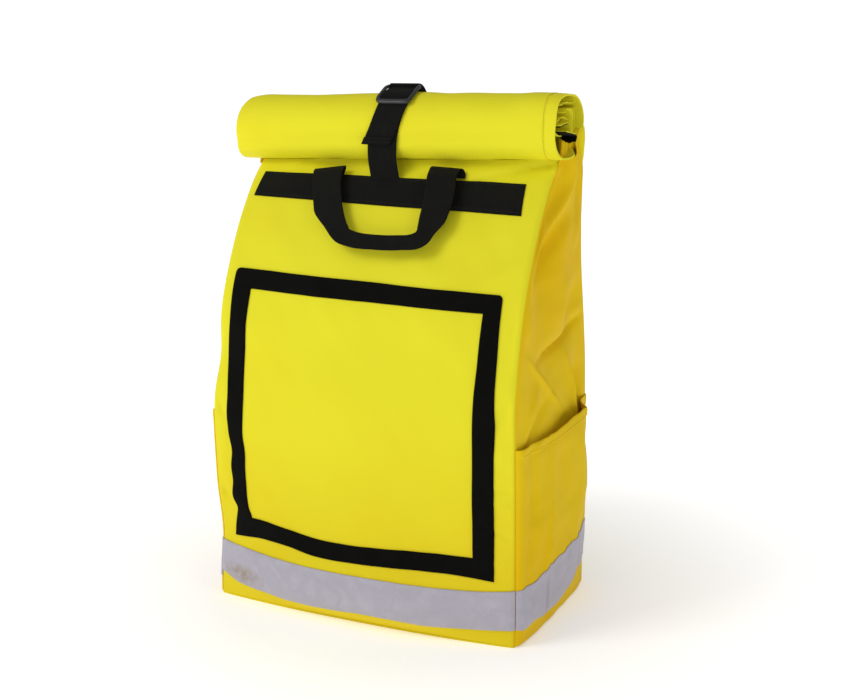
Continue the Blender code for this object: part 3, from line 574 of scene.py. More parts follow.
# Rows of the right pocket's band where it was sewn over the folds, by the share back
BAND_SIDE_EDGES = Table(("along", "low", "high"), (
    (0.000, 0.0235, 0.0735),
    (0.060, 0.0222, 0.0762),
    (0.110, 0.0265, 0.0760),
    (0.180, 0.0262, 0.0772),
    (0.245, 0.0232, 0.0808),
    (0.290, 0.0215, 0.0842),
    (0.345, 0.0205, 0.0832),
    (0.400, 0.0212, 0.0872),
    (0.470, 0.0228, 0.0884),
    (0.570, 0.0282, 0.0932),
    (0.620, 0.0340, 0.0926),
    (0.680, 0.0450, 0.0945),
    (0.760, 0.0475, 0.0985),
    (0.820, 0.0470, 0.1010),
    (0.900, 0.0430, 0.0980),
    (1.000, 0.0380, 0.0930),
))
# Crinkles of the front band, as places (x, row) in metres
BAND_CRINKLES = (
    Crease((-0.190, 0.056), (-0.130, 0.034), 0.0040, -0.0012, lean=0.5),
    Crease((-0.150, 0.066), (-0.120, 0.040), 0.0035, 0.0009),
    Crease((-0.110, 0.070), (-0.090, 0.048), 0.0030, 0.0008),
    Crease((-0.100, 0.034), (-0.060, 0.044), 0.0030, 0.0008),
    Crease((-0.050, 0.068), (-0.030, 0.056), 0.0028, 0.0007),
    Crease((0.010, 0.070), (0.020, 0.058), 0.0030, 0.0007),
    Crease((0.060, 0.071), (0.084, 0.058), 0.0035, 0.0008),
    Crease((0.190, 0.045), (0.207, 0.048), 0.0018, 0.0012),
    Crease((0.204, 0.026), (0.205, 0.070), 0.0018, 0.0008),
)


def dents(table: Table, along: Array, height: Array) -> Array:
    """Sum of rounded dents: each depth times a bell round its place, as a share of the depth."""
    total = np.zeros(np.broadcast(along, height).shape)
    for centre, level, spread, spread_up, depth in table.rows:
        beside, above = (along - centre) / spread, (height - level) / spread_up
        total = total + depth * np.exp(-beside ** 2 - above ** 2)
    return total


@dataclass(frozen=True)
class BagForm:
    """Sizes of the bag, as its frame has them, and the surfaces of its walls."""

    width: float = 0.420
    depth: float = 0.250
    height: float = 0.5745
    cloth: float = 0.0012
    wall: float = 0.0020
    seam: float = 0.0003
    back_rise: float = 0.0370
    rise_from: float = 0.870
    rise_power: float = 3.6
    swell_power: float = 2.5
    side_sag: float = 0.4
    fold_from: float = 0.10
    band_low: float = 0.024
    band_width: float = 0.050
    pocket_top: float = 0.252
    pocket_bulge: float = 0.0135
    pocket_rise: float = 0.0130
    corner_low: float = 0.0035
    corner_high: float = 0.0100
    corner_back: float = 0.0060
    puff: float = 0.0040
    roll_radius: float = 0.0415
    roll_length: float = 0.455
    roll_shift: float = -0.0045
    roll_layer: float = 0.0022
    roll_pitch: float = 0.0085
    roll_y: float = 0.0125
    roll_tilt: float = 0.024
    roll_turns: float = 1.75
    roll_start: float = -4.0
    roll_seam: float = 0.2010

    @property
    def half_width(self) -> float:
        """Half the bag's width."""
        return self.width / 2.0

    @property
    def half_depth(self) -> float:
        """Half the bag's depth."""
        return self.depth / 2.0

    @property
    def roll_z(self) -> float:
        """Height of the roll's centre line at the middle of the bag."""
        return self.height + self.seam + self.roll_radius

    def edge(self, name: str, z: Array) -> Array:
        """Distance from the bag's middle to the front or back edge of its side walls."""
        return self.half_depth * BODY_SHAPE.at(name, z / self.height)

    def swell(self, across: Array) -> Array:
        """1 in the middle of a wall and 0 at its edges, where across is -1 and 1."""
        return 1.0 - np.abs(across) ** self.swell_power

    def sag(self, across: Array, row: Array) -> Array:
        """How far the cloth hangs down in the middle of a wall."""
        start = smooth_step((row - self.wall - self.seam) / self.band_low)
        return self.half_depth * BODY_SHAPE.at("droop", row / self.height) * self.swell(across) * start

    def corner(self, row: Array) -> Array:
        """Radius of the front corners: a tight seam beside the pockets, a soft fold above."""
        soft = smooth_step((row - self.pocket_top) / (0.12 * self.height))
        return self.corner_low + (self.corner_high - self.corner_low) * soft

    @staticmethod
    def round_off(reach: Array, radius: Array) -> tuple[Array, Array]:
        """Half of a rounded corner.

        The wall keeps to a quarter circle and ends at its middle, where the next wall starts.

        Args:
            reach: Distance from the sharp corner along the flat wall.
            radius: Radius of the corner.

        Returns:
            The distance along the wall after rounding, and how far the cloth steps back.
        """
        inset = radius * (1.0 - math.sqrt(0.5))
        moved = np.where(reach < radius, inset + reach * (radius - inset) / radius, reach)
        inner = np.clip(radius - moved, 0.0, radius)
        return moved, radius - np.sqrt(radius**2 - inner**2)

    def front(self, x: Array, row: Array) -> Array:
        """Points of the front wall.

        The side outline at the row's height, pushed out by the belly and the folds, pressed
        in by the dents, and rounded off at both corners.

        Args:
            x: Places across, from minus to plus half the width.
            row: Heights on the flat cloth.

        Returns:
            Points of the outer face.
        """
        across = x / self.half_width
        share = row / self.height
        z = row - self.half_width * BODY_SHAPE.at("skew", share) * across - self.sag(across, row)
        y = self.edge("front", z) - self.half_depth * BODY_SHAPE.at("belly", share) * self.swell(across)
        y = y + self.depth * dents(FRONT_DENTS, across, share)
        calm = smooth_step((1.0 - np.abs(across)) / 0.06) * smooth_step(share / 0.06)
        slack = fold_relief(FRONT_FOLDS, x, row) + ripple(x, row, 0.110, 0.0019, 11)
        slack = slack + ripple(x, row, 0.038, 0.0004, 12)
        y = y - calm * slack
        moved, step_back = self.round_off(self.half_width - np.abs(x), self.corner(row))
        return np.stack((np.sign(x) * (self.half_width - moved), y + step_back, z), axis=-1)

    def back_z(self, row: Array) -> Array:
        """Height of a row of the back wall, which rises further, behind the roll."""
        start = self.rise_from * self.height
        return row + self.back_rise * smooth_step((row - start) / (self.height - start))

    def back(self, x: Array, row: Array) -> Array:
        """Points of the back wall: the side outline, slightly slack, with rounded corners."""
        across = x / self.half_width
        level = self.back_z(row)
        z = level - self.half_width * BODY_SHAPE.at("skew", row / self.height) * across
        calm = smooth_step((1.0 - np.abs(across)) / 0.10) * smooth_step(row / (0.06 * self.height))
        y = self.edge("back", level) - calm * np.abs(ripple(x, row, 0.120, 0.0016, 21))
        moved, step_back = self.round_off(self.half_width - np.abs(x), np.full(x.shape, self.corner_back))
        return np.stack((np.sign(x) * (self.half_width - moved), y - step_back, z), axis=-1)

    def side(self, side: Side, along: Array, row: Array) -> Array:
        """Points of a side wall.

        Its width is half the bag's plus the flank's swell, less the dents, plus the folds,
        and it is rounded off at the front and the back corner.

        Args:
            side: Which side.
            along: Share of the way from the front corner to the back corner.
            row: Heights on the flat cloth.

        Returns:
            Points of the outer face.
        """
        along, row = np.broadcast_arrays(np.clip(along, 0.0, 1.0), np.asarray(row, float))
        share = row / self.height
        tilt = side.value * self.half_width * BODY_SHAPE.at("skew", share)
        front_z = row - tilt
        level = self.back_z(row)
        back_z = level - tilt
        front_y = self.edge("front", front_z)
        front_y = front_y + self.depth * dents(FRONT_DENTS, np.full(row.shape, side.value), share)
        run = self.edge("back", level) - front_y
        reach, step_front = self.round_off(along * run, self.corner(row))
        left, step_back = self.round_off((1.0 - along) * run, np.full(row.shape, self.corner_back))
        y = front_y + np.where(along < 0.5, reach, run - left)
        window = 1.0 - np.abs(2.0 * along - 1.0) ** 4
        dent = self.depth * dents(SIDE_DENTS, along, share) * window * smooth_step(share / self.fold_from)
        flank = self.half_depth * BODY_SHAPE.at("flank", share) * self.swell(2.0 * along - 1.0)
        place = y if side is Side.RIGHT else y - 0.012
        slack = fold_relief(SIDE_FOLDS, place, row) + ripple(place, row, 0.070, 0.0014, 31)
        slack = slack + ripple(place, row, 0.028, 0.0005, 32)
        calm = smooth_step(np.minimum(along, 1.0 - along) / 0.10) * smooth_step(share / 0.06)
        x = self.half_width + flank - dent + calm * slack - step_front - step_back
        z = front_z + (back_z - front_z) * along**self.rise_power
        z = z - self.side_sag * self.sag(2.0 * along - 1.0, row)
        return np.stack((side.value * x, y, z), axis=-1)

    def side_surface(self, side: Side) -> Surface:
        """The surface of one side wall, as a function of the share back and the row."""
        return lambda along, row: self.side(side, along, row)

    def pocket_surface(self, side: Side) -> Surface:
        """The surface of one side pocket, as a function of the share back and the row."""
        return lambda along, row: self.pocket(side, along, row)

    def pocket(self, side: Side, along: Array, row: Array) -> Array:
        """Points of a side pocket.

        The side wall, moved out by the cloth, a puff just past the front seam, the pocket's
        swell and its own folds. Its top edge rises towards the back.

        Args:
            side: Which side.
            along: Share of the way from the front corner to the back corner.
            row: Heights on the flat cloth.

        Returns:
            Points of the outer face.
        """
        along, row = np.broadcast_arrays(np.clip(along, 0.0, 1.0), np.asarray(row, float))
        points = self.side(side, along, row)
        reach = along * self.depth
        start = (0.2 + 0.8 * smooth_step(reach / 0.005)) * (0.3 + 0.7 * smooth_step((1.0 - along) / 0.14))
        swell = self.pocket_bulge * POCKET_ALONG.at("swell", along)
        swell = swell * POCKET_UP.at("swell", row / self.pocket_top) * smooth_step((1.0 - along) / 0.36)
        puff = self.puff * smooth_step(reach / 0.009) * (1.0 - smooth_step((along - 0.08) / 0.5))
        puff = puff * (0.25 + 0.75 * smooth_step(row / 0.03))
        place = points[..., 1] if side is Side.RIGHT else points[..., 1] - 0.012
        calm = smooth_step(np.minimum(along, 1.0 - along) / 0.06)
        folds = calm * (fold_relief(POCKET_FOLDS, place, row) + ripple(place, row, 0.060, 0.0007, 41))
        puff = puff if side is Side.RIGHT else 0.0
        out = start * (self.wall + self.cloth) + swell + puff + folds
        rise = self.pocket_rise * smooth_step((along - 0.25) / 0.75)
        rise = rise * np.clip(row / self.pocket_top, 0.0, 1.1) ** 3
        shift = np.stack((side.value * out, np.zeros_like(out), rise), axis=-1)
        return points + shift

    @staticmethod
    def boxy(place: Array, degrees: Array) -> Array:
        """How much the roll's section bulges past a circle at its corners.

        A superellipse of the given power over a circle: the low front corner all along,
        and every corner near the right end, where no strap holds it.

        Args:
            place: Share of the way along the roll.
            degrees: Angle round it.

        Returns:
            Factor on the radius, 1 or a little more.
        """
        turn = np.radians(degrees)
        power = 2.75
        bulge = (np.abs(np.cos(turn)) ** power + np.abs(np.sin(turn)) ** power) ** (-1.0 / power) - 1.0
        low = smooth_step((degrees - 196.0) / 18.0) * (1.0 - smooth_step((degrees - 262.0) / 16.0))
        end = smooth_step((place - 0.80) / 0.16) * (1.0 - smooth_step((degrees - 262.0) / 16.0))
        return 1.0 + bulge * np.maximum(1.25 * low, end)

    def roll(self, x: Array, degrees: Array, inward: float = 0.0) -> Array:
        """Points of the roll's outer face, or of a face further in.

        A spiral round the roll's centre line. The radius steps in by one pitch where a turn
        goes under the next one, and the underside stays on the front wall.

        Args:
            x: Places across the bag.
            degrees: Angle from the back over the top, and on for the inner turns.
            inward: Distance towards the centre line.

        Returns:
            Points of the face.
        """
        place = (x - self.roll_shift) / self.roll_length + 0.5
        share = ROLL_SECTIONS.at("radius", place)
        tuck = smooth_step((degrees - 285.0) / 80.0)
        core = smooth_step((degrees - 540.0) / 180.0)
        arc = np.radians(degrees) * self.roll_radius
        slack = ripple(x, arc, 0.090, 0.0007, 51) + ripple(x, arc, 0.030, 0.0002, 52)
        radius = share * (self.roll_radius - self.roll_pitch * (tuck + core)) - inward
        radius = radius + slack * smooth_step((degrees - 4.0) / 30.0)
        radius = radius * self.boxy(place, degrees)
        beside = x - self.roll_seam
        seam = np.exp(-((beside / 0.0014) ** 2))
        pucker = np.sin(arc / 0.0016 + 1.5 * np.sin(arc / 0.005)) * np.exp(-((beside / 0.0045) ** 2))
        radius = radius - 0.0010 * seam + 0.0004 * pucker
        turn = np.radians(degrees)
        y = self.roll_y + radius * np.cos(turn)
        z = self.roll_z + radius * np.sin(turn) + self.roll_radius * (share - 1.0) + self.roll_tilt * x
        return np.stack(np.broadcast_arrays(x, y, z), axis=-1)


def socket(group: bpy.types.NodeTree, name: str, kind: str, way: str, value: float | None = None) -> None:
    """Adds a named input or output to a node group."""
    made = group.interface.new_socket(name=name, in_out=way, socket_type=kind)
    if value is not None:
        made.default_value = value


class Graph:
    """Short way to add and link shader nodes in one tree."""

    def __init__(self, tree: bpy.types.NodeTree) -> None:
        """Keeps the tree that nodes are added to."""
        self.tree = tree

    def node(self, kind: str, **settings: object) -> Node:
        """A new node with its properties set."""
        made = self.tree.nodes.new(kind)
        for name, value in settings.items():
            setattr(made, name, value)
        return made

    def feed(self, node: Node, name: str | int, value: object) -> None:
        """Links a socket into an input, or sets the input's own value."""
        if isinstance(value, Socket):
            self.tree.links.new(value, node.inputs[name])
        else:
            node.inputs[name].default_value = value

    def math(self, operation: str, first: object, second: object = 0.0, third: object = 0.0) -> Socket:
        """Result of one math operation."""
        made = self.node("ShaderNodeMath", operation=operation)
        for place, value in enumerate((first, second, third)):
            self.feed(made, place, value)
        return made.outputs[0]

    def noise(self, vector: object, scale: float, detail: float = 3.0, roughness: float = 0.5) -> Socket:
        """Noise from 0 to 1 over a vector."""
        made = self.node("ShaderNodeTexNoise")
        self.feed(made, "Vector", vector)
        self.feed(made, "Scale", scale)
        self.feed(made, "Detail", detail)
        self.feed(made, "Roughness", roughness)
        return made.outputs["Fac"]

    def span(self, value: object, low: float, high: float, to_low: float, to_high: float) -> Socket:
        """A value moved from one range to another and held to it."""
        made = self.node("ShaderNodeMapRange")
        names = ("Value", "From Min", "From Max", "To Min", "To Max")
        for name, number in zip(names, (value, low, high, to_low, to_high)):
            self.feed(made, name, number)
        return made.outputs[0]

    def blend(self, share: object, first: tuple[float, ...], second: object) -> Socket:
        """Two colours mixed by a share."""
        made = self.node("ShaderNodeMix", data_type="RGBA")
        self.feed(made, 0, share)
        self.feed(made, 6, first)
        self.feed(made, 7, second)
        return made.outputs[2]

    def bump(self, height: object, distance: float, strength: float, normal: object | None = None) -> Socket:
        """Normal tilted by a height."""
        made = self.node("ShaderNodeBump")
        self.feed(made, "Height", height)
        self.feed(made, "Distance", distance)
        self.feed(made, "Strength", strength)
        if normal is not None:
            self.feed(made, "Normal", normal)
        return made.outputs[0]


class Effects:
    """Shader node groups that more than one finish uses, each built once."""

    _made: dict[str, bpy.types.NodeTree] = {}

    @classmethod
    def place(cls, graph: Graph, name: str, **inputs: object) -> Node:
        """Puts a group into a material with its own values.

        Args:
            graph: The material's nodes.
            name: Which group: weave, grain or creasing.
            inputs: Values or sockets for the group's inputs, with spaces as underscores.

        Returns:
            The group's node.
        """
        if name not in cls._made:
            cls._made[name] = getattr(cls, "_" + name)()
        made = graph.node("ShaderNodeGroup", node_tree=cls._made[name])
        for key, value in inputs.items():
            graph.feed(made, key.replace("_", " "), value)
        return made

    @staticmethod
    def _start(name: str, inputs: Sequence[tuple[str, float]],
               outputs: Sequence[str]) -> tuple[Graph, Node, Node]:
        """An empty group with a Vector input, number inputs and number outputs."""
        group = bpy.data.node_groups.new(name, "ShaderNodeTree")
        socket(group, "Vector", "NodeSocketVector", "INPUT")
        for label, value in inputs:
            socket(group, label, "NodeSocketFloat", "INPUT", value)
        for label in outputs:
            socket(group, label, "NodeSocketFloat", "OUTPUT")
        graph = Graph(group)
        return graph, graph.node("NodeGroupInput"), graph.node("NodeGroupOutput")

    @classmethod
    def _weave(cls) -> bpy.types.NodeTree:
        """Staggered ribs of webbing.

        Columns of yarn across the strap, each a row of rounded stitches along it, every
        second column half a stitch further on. Height is the product of the two bells, and
        Yarn tells one yarn from the next.
        """
        inputs = (("Column", 0.0011), ("Stitch", 0.0021))
        graph, given, result = cls._start("Weave", inputs, ("Height", "Yarn"))
        parts = graph.node("ShaderNodeSeparateXYZ")
        graph.feed(parts, 0, given.outputs["Vector"])
        column = graph.math("DIVIDE", parts.outputs["Y"], given.outputs["Column"])
        whole = graph.math("FLOOR", column)
        stitch = graph.math("DIVIDE", parts.outputs["X"], given.outputs["Stitch"])
        stitch = graph.math("ADD", stitch, graph.math("MULTIPLY", whole, 0.5))
        across = graph.math("ABSOLUTE", graph.math("SINE", graph.math("MULTIPLY", column, math.pi)))
        along = graph.math("ABSOLUTE", graph.math("SINE", graph.math("MULTIPLY", stitch, math.pi)))
        height = graph.math("MULTIPLY", graph.math("POWER", across, 0.6), graph.math("POWER", along, 0.7))
        graph.feed(result, "Height", height)
        place = graph.node("ShaderNodeCombineXYZ")
        graph.feed(place, "X", whole)
        graph.feed(place, "Y", graph.math("FLOOR", stitch))
        yarn = graph.node("ShaderNodeTexWhiteNoise", noise_dimensions="2D")
        graph.feed(yarn, "Vector", place.outputs[0])
        graph.feed(result, "Yarn", yarn.outputs["Value"])
        return graph.tree

    @classmethod
    def _grain(cls) -> bpy.types.NodeTree:
        """Fine plain weave under a coating: Height is the product of two sines, one each way."""
        graph, given, result = cls._start("Grain", (("Thread", 0.0005),), ("Height",))
        parts = graph.node("ShaderNodeSeparateXYZ")
        graph.feed(parts, 0, given.outputs["Vector"])
        ways = []
        for axis in ("X", "Y"):
            count = graph.math("DIVIDE", parts.outputs[axis], given.outputs["Thread"])
            ways.append(graph.math("SINE", graph.math("MULTIPLY", count, math.pi)))
        product = graph.math("MULTIPLY", ways[0], ways[1])
        graph.feed(result, "Height", graph.math("MULTIPLY_ADD", product, 0.5, 0.5))
        return graph.tree

    @classmethod
    def _creasing(cls) -> bpy.types.NodeTree:
        """Crumpled facets: Height is a coarse and a fine noise, Patch a slow one for colour."""
        graph, given, result = cls._start("Creasing", (("Coarse", 18.0), ("Fine", 90.0)), ("Height", "Patch"))
        noises = []
        for label, detail in (("Coarse", 2.0), ("Fine", 3.0)):
            made = graph.noise(given.outputs["Vector"], given.outputs[label], detail)
            noises.append(graph.math("ABSOLUTE", graph.math("SUBTRACT", made, 0.5)))
        fine = graph.math("MULTIPLY", noises[1], 0.35)
        graph.feed(result, "Height", graph.math("ADD", noises[0], fine))
        slow = graph.node("ShaderNodeTexNoise")
        graph.feed(slow, "Vector", given.outputs["Vector"])
        graph.feed(slow, "Scale", graph.math("MULTIPLY", given.outputs["Coarse"], 0.4))
        graph.feed(result, "Patch", slow.outputs["Fac"])
        return graph.tree


@dataclass(frozen=True)
class Finish:
    """One finish: its names, colours and gloss. Each kind adds its own pattern."""

    name: str
    slot: str
    colour: tuple[float, float, float]
    second: tuple[float, float, float]
    roughness: float
    specular: float = 0.5

    def start(self) -> tuple[bpy.types.Material, Graph, Node, Socket, Socket]:
        """A new material.

        Returns:
            The material, its nodes, its shader, and the object and texture coordinates.
        """
        material = bpy.data.materials.new(self.name)
        material.use_nodes = True
        graph = Graph(material.node_tree)
        shader = material.node_tree.nodes["Principled BSDF"]
        shader.inputs["Specular IOR Level"].default_value = self.specular
        place = graph.node("ShaderNodeTexCoord")
        return material, graph, shader, place.outputs["Object"], place.outputs["UV"]

    def colours(self, graph: Graph, shader: Node, share: object, rough: tuple[float, float]) -> None:
        """Feeds the base colour and the roughness from one share between the two colours."""
        graph.feed(shader, "Base Color", graph.blend(share, (*self.colour, 1.0), (*self.second, 1.0)))
        graph.feed(shader, "Roughness", graph.span(share, 0.0, 1.0, *rough))

    def build(self) -> bpy.types.Material:
        """The finished material."""
        raise NotImplementedError


@dataclass(frozen=True)
class CoatedCloth(Finish):
    """Bright woven cloth under a smooth coating, with soft creases and patchy tone.

    The colour is painted deeper towards the foot as painted shade, and the side
    panels' copy is painted deeper all over as painted shade on the bag's sides.
    """

    # How far the colour is painted deeper as painted shade: all over, and at the foot.
    depth: float = 0.0
    foot_share: float = 0.45

    def build(self) -> bpy.types.Material:
        """Painted shade deepening the colour towards the foot, patchy tone, fine weave and shallow crumpling.
        """
        material, graph, shader, place, uv = self.start()
        creasing = Effects.place(graph, "creasing", Vector=place, Coarse=14.0, Fine=70.0)
        parts = graph.node("ShaderNodeSeparateXYZ")
        graph.feed(parts, 0, place)
        # Painted shade: the colour deepens from mid-height down to the foot.
        foot = graph.span(parts.outputs["Z"], 0.02, 0.36, self.foot_share, 0.0)
        patch = graph.span(creasing.outputs["Patch"], 0.35, 0.65, -0.08, 0.08)
        # Painted shade, the larger of the foot's and the all-over share, plus random tone patches.
        painted_shade_and_tone = graph.math("ADD", graph.math("MAXIMUM", foot, self.depth), patch)
        self.colours(graph, shader, painted_shade_and_tone, (self.roughness, self.roughness + 0.08))
        grain = Effects.place(graph, "grain", Vector=uv, Thread=0.0006)
        normal = graph.bump(creasing.outputs["Height"], 0.004, 0.16)
        normal = graph.bump(grain.outputs["Height"], 0.0001, 0.25, normal)
        graph.feed(shader, "Normal", normal)
        return material


@dataclass(frozen=True)
class ReflectiveTape(Finish):
    """Grey glass-bead tape: crinkled, pale along its ridges, and rubbed brown in one place."""

    stain: tuple[float, float, float] = (0.30, 0.22, 0.12)
    stain_at: tuple[float, float, float] = (-0.170, -0.140, 0.037)
    stain_scale: tuple[float, float, float] = (0.50, 0.4, 1.5)

    def build(self) -> bpy.types.Material:
        """Fine beads, small crinkles and a smudge at the left foot."""
        material, graph, shader, place, uv = self.start()
        creasing = Effects.place(graph, "creasing", Vector=place, Coarse=42.0, Fine=230.0)
        beads = graph.noise(uv, 2200.0, 1.0)
        # Colour follows the crinkles' height: painted shade in the creases leaves pale ridges, plus the
        # beads' fine tone.
        share = graph.math("MULTIPLY_ADD", creasing.outputs["Height"], 1.6, 0.12)
        share = graph.math("ADD", share, graph.math("MULTIPLY", beads, 0.14))
        base = graph.blend(graph.span(share, 0.2, 0.75, 0.0, 1.0), (*self.colour, 1.0), (*self.second, 1.0))
        away = graph.node("ShaderNodeVectorMath", operation="DISTANCE")
        centred = graph.node("ShaderNodeMapping")
        graph.feed(centred, "Vector", place)
        graph.feed(centred, "Scale", self.stain_scale)
        graph.feed(centred, "Location", tuple(-c * s for c, s in zip(self.stain_at, self.stain_scale)))
        graph.feed(away, 0, centred.outputs[0])
        rubbed = graph.span(away.outputs["Value"], 0.004, 0.024, 1.0, 0.0)
        patchy = graph.span(graph.noise(place, 120.0, 3.0), 0.30, 0.60, 0.15, 1.0)
        rubbed = graph.math("MULTIPLY", graph.math("MULTIPLY", rubbed, patchy), 0.75)
        graph.feed(shader, "Base Color", graph.blend(rubbed, base, (*self.stain, 1.0)))
        graph.feed(shader, "Roughness", graph.span(share, 0.2, 0.75, self.roughness, self.roughness + 0.2))
        normal = graph.bump(creasing.outputs["Height"], 0.003, 0.35)
        graph.feed(shader, "Normal", graph.bump(beads, 0.0002, 0.2, normal))
        return material


@dataclass(frozen=True)
class Webbing(Finish):
    """Woven strap: staggered ribs of yarn, painted darker in the grooves as painted shade, with uneven yarn
    tone and dust.
    """

    column: float = 0.0012
    stitch: float = 0.0024

    def build(self) -> bpy.types.Material:
        """Ribs from the texture coordinates, which run along the strap."""
        material, graph, shader, place, uv = self.start()
        weave = Effects.place(graph, "weave", Vector=uv, Column=self.column, Stitch=self.stitch)
        yarn = graph.span(weave.outputs["Yarn"], 0.0, 1.0, 0.6, 1.0)
        # Colour follows the rib height: painted shade in the grooves, times random yarn tone and dust.
        tone = graph.math("MULTIPLY", weave.outputs["Height"], yarn)
        dust = graph.span(graph.noise(place, 60.0, 4.0), 0.35, 0.75, 0.55, 1.0)
        tone = graph.math("MULTIPLY", tone, dust)
        self.colours(graph, shader, tone, (self.roughness + 0.08, self.roughness))
        graph.feed(shader, "Normal", graph.bump(weave.outputs["Height"], 0.0005, 0.5))
        shader.inputs["Sheen Weight"].default_value = 0.02
        shader.inputs["Sheen Roughness"].default_value = 0.5
        return material


@dataclass(frozen=True)
class LoopTape(Finish):
    """Napped tape: a soft pile of tiny loops."""

    def build(self) -> bpy.types.Material:
        """Loops are a fine noise, and the nap's lie a slower one."""
        material, graph, shader, place, uv = self.start()
        loops = graph.noise(uv, 1500.0, 2.0, 0.7)
        lie = graph.noise(place, 85.0, 3.0)
        raised, nap = graph.span(loops, 0.35, 0.75, 0.0, 1.0), graph.span(lie, 0.3, 0.7, 0.5, 1.0)
        # Colour follows the loops' height: painted shade between the raised loops, varied by the nap's lie.
        share = graph.math("MULTIPLY", raised, nap)
        self.colours(graph, shader, share, (self.roughness, self.roughness - 0.05))
        graph.feed(shader, "Normal", graph.bump(loops, 0.0006, 0.6))
        shader.inputs["Sheen Weight"].default_value = 0.02
        shader.inputs["Sheen Roughness"].default_value = 0.6
        return material


@dataclass(frozen=True)
class MouldedPlastic(Finish):
    """Black moulded plastic with a faint spark texture and lighter scuffs."""

    def build(self) -> bpy.types.Material:
        """Fine pitting, and lighter scuffs where a noise peaks."""
        material, graph, shader, place, _ = self.start()
        pits = graph.noise(place, 2600.0, 2.0)
        scuff = graph.span(graph.noise(place, 240.0, 4.0, 0.6), 0.56, 0.74, 0.0, 1.0)
        self.colours(graph, shader, scuff, (self.roughness, self.roughness + 0.2))
        graph.feed(shader, "Normal", graph.bump(pits, 0.0001, 0.25))
        return material


class Palette:
    """The bag's finishes, each made into a material the first time it is asked for."""

    # The second colour is the deeper tone used for the random patches and for painted shade.
    CLOTH = CoatedCloth("coated_cloth", "coated_cloth",
        (0.79, 0.740, 0.024), (0.80, 0.50, 0.004), 0.60, 0.08)
    # The sides' copy of the cloth: its colour is painted deeper all over as painted shade on the bag's sides,
    # pockets and roll ends.
    SIDE_CLOTH = CoatedCloth("side_cloth", "coated_cloth",
        (0.79, 0.735, 0.014), (0.80, 0.50, 0.003), 0.60, 0.08, 0.82)
    REFLECTIVE = ReflectiveTape("reflective_tape", "reflective_tape",
        (0.415, 0.395, 0.47), (0.49, 0.47, 0.55), 0.45)
    WEBBING = Webbing("black_webbing", "black_webbing",
        (0.0025, 0.0025, 0.0022), (0.010, 0.010, 0.0085), 0.80, 0.12)
    LOOP = LoopTape("loop_tape", "loop_tape",
        (0.0016, 0.0016, 0.0013), (0.0060, 0.0058, 0.0048), 0.97, 0.05)
    PAD = Webbing("strap_cloth", "strap_cloth",
        (0.006, 0.006, 0.006), (0.022, 0.022, 0.022), 0.82, 0.3, 0.0007, 0.0009)
    PLASTIC = MouldedPlastic("black_plastic", "black_plastic",
        (0.014, 0.015, 0.017), (0.045, 0.046, 0.048), 0.36)
    THREAD = Webbing("yellow_thread", "coated_cloth",
        (0.60, 0.42, 0.008), (0.82, 0.60, 0.02), 0.7, 0.1, 0.0003, 0.0006)
    DARK_THREAD = Webbing("black_thread", "black_webbing",
        (0.006, 0.006, 0.006), (0.03, 0.03, 0.028), 0.6, 0.4, 0.0003, 0.0006)

    _made: dict[str, bpy.types.Material] = {}

    @classmethod
    def dress(cls, piece: Piece, finish: Finish, *nodes: str) -> Piece:
        """Gives a piece its material and seats it on the bag.

        Args:
            piece: The finished piece.
            finish: What it is made of.
            nodes: Frame nodes that it stands for.

        Returns:
            The same piece.
        """
        if finish.name not in cls._made:
            cls._made[finish.name] = finish.build()
        piece.data.materials.clear()
        piece.data.materials.append(cls._made[finish.name])
        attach(piece, BODY)
        if nodes:
            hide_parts(*nodes)
        LOG.info("%s: %d faces, %s", piece.name, len(piece.data.polygons), finish.name)
        return piece


def stitch_row(name: str, path: Array, normal: Array, length: float, gap: float, thread: float) -> Piece:
    """Row of sewing stitches along a path.

    One low stitch of three rings, a half ellipse high, repeated at even steps and turned to
    the path's direction and normal there.

    Args:
        name: Name of the piece.
        path: Points of the seam on the cloth.
        normal: Outward direction at those points.
        length: Length of a stitch.
        gap: Space to the next stitch.
        thread: Thickness of the thread.

    Returns:
        The new object.
    """
    run = run_along(path)
    middle = np.arange(length, run[-1] - length / 2.0, length + gap)
    at = resampled(middle, run, path)
    ahead = unit(resampled(middle + gap, run, path) - at)
    up = unit(resampled(middle, run, normal))
    side = np.cross(up, ahead)
    around = 6
    turn = 2.0 * np.pi * np.arange(around) / around
    along = np.array([-0.5, -0.42, 0.0, 0.42, 0.5])
    swell = np.array([0.0, 0.8, 1.0, 0.8, 0.0])
    rise = np.array([-0.25, 0.05, 0.35, 0.05, -0.25])
    a = np.repeat(along, around) * length
    s = (swell[:, None] * np.cos(turn) * thread / 2.0).ravel()
    h = (swell[:, None] * np.sin(turn) * thread / 2.0 + rise[:, None] * thread).ravel()
    stitch = sum(part[None, :, None] * way[:, None, :] for part, way in ((a, ahead), (s, side), (h, up)))
    points = (at[:, None, :] + stitch).reshape(-1, 3)
    number = np.arange(len(along) * around).reshape(len(along), around)
    after = np.roll(number, -1, axis=1)
    one = np.stack((number[:-1], after[:-1], after[1:], number[1:]), axis=-1).reshape(-1, 4)
    faces = (one[None] + (np.arange(len(middle)) * len(along) * around)[:, None, None]).reshape(-1, 4)
    return make_piece(name, points, faces)


def surface_seam(surface: Surface, a: Array, b: Array, lift: float) -> tuple[Array, Array]:
    """Points along a line of a surface, lifted off, and the outward directions there."""
    on = lifted(surface, a, b, lift)
    normal = lifted(surface, a, b, lift + 1.0) - on
    return on, normal


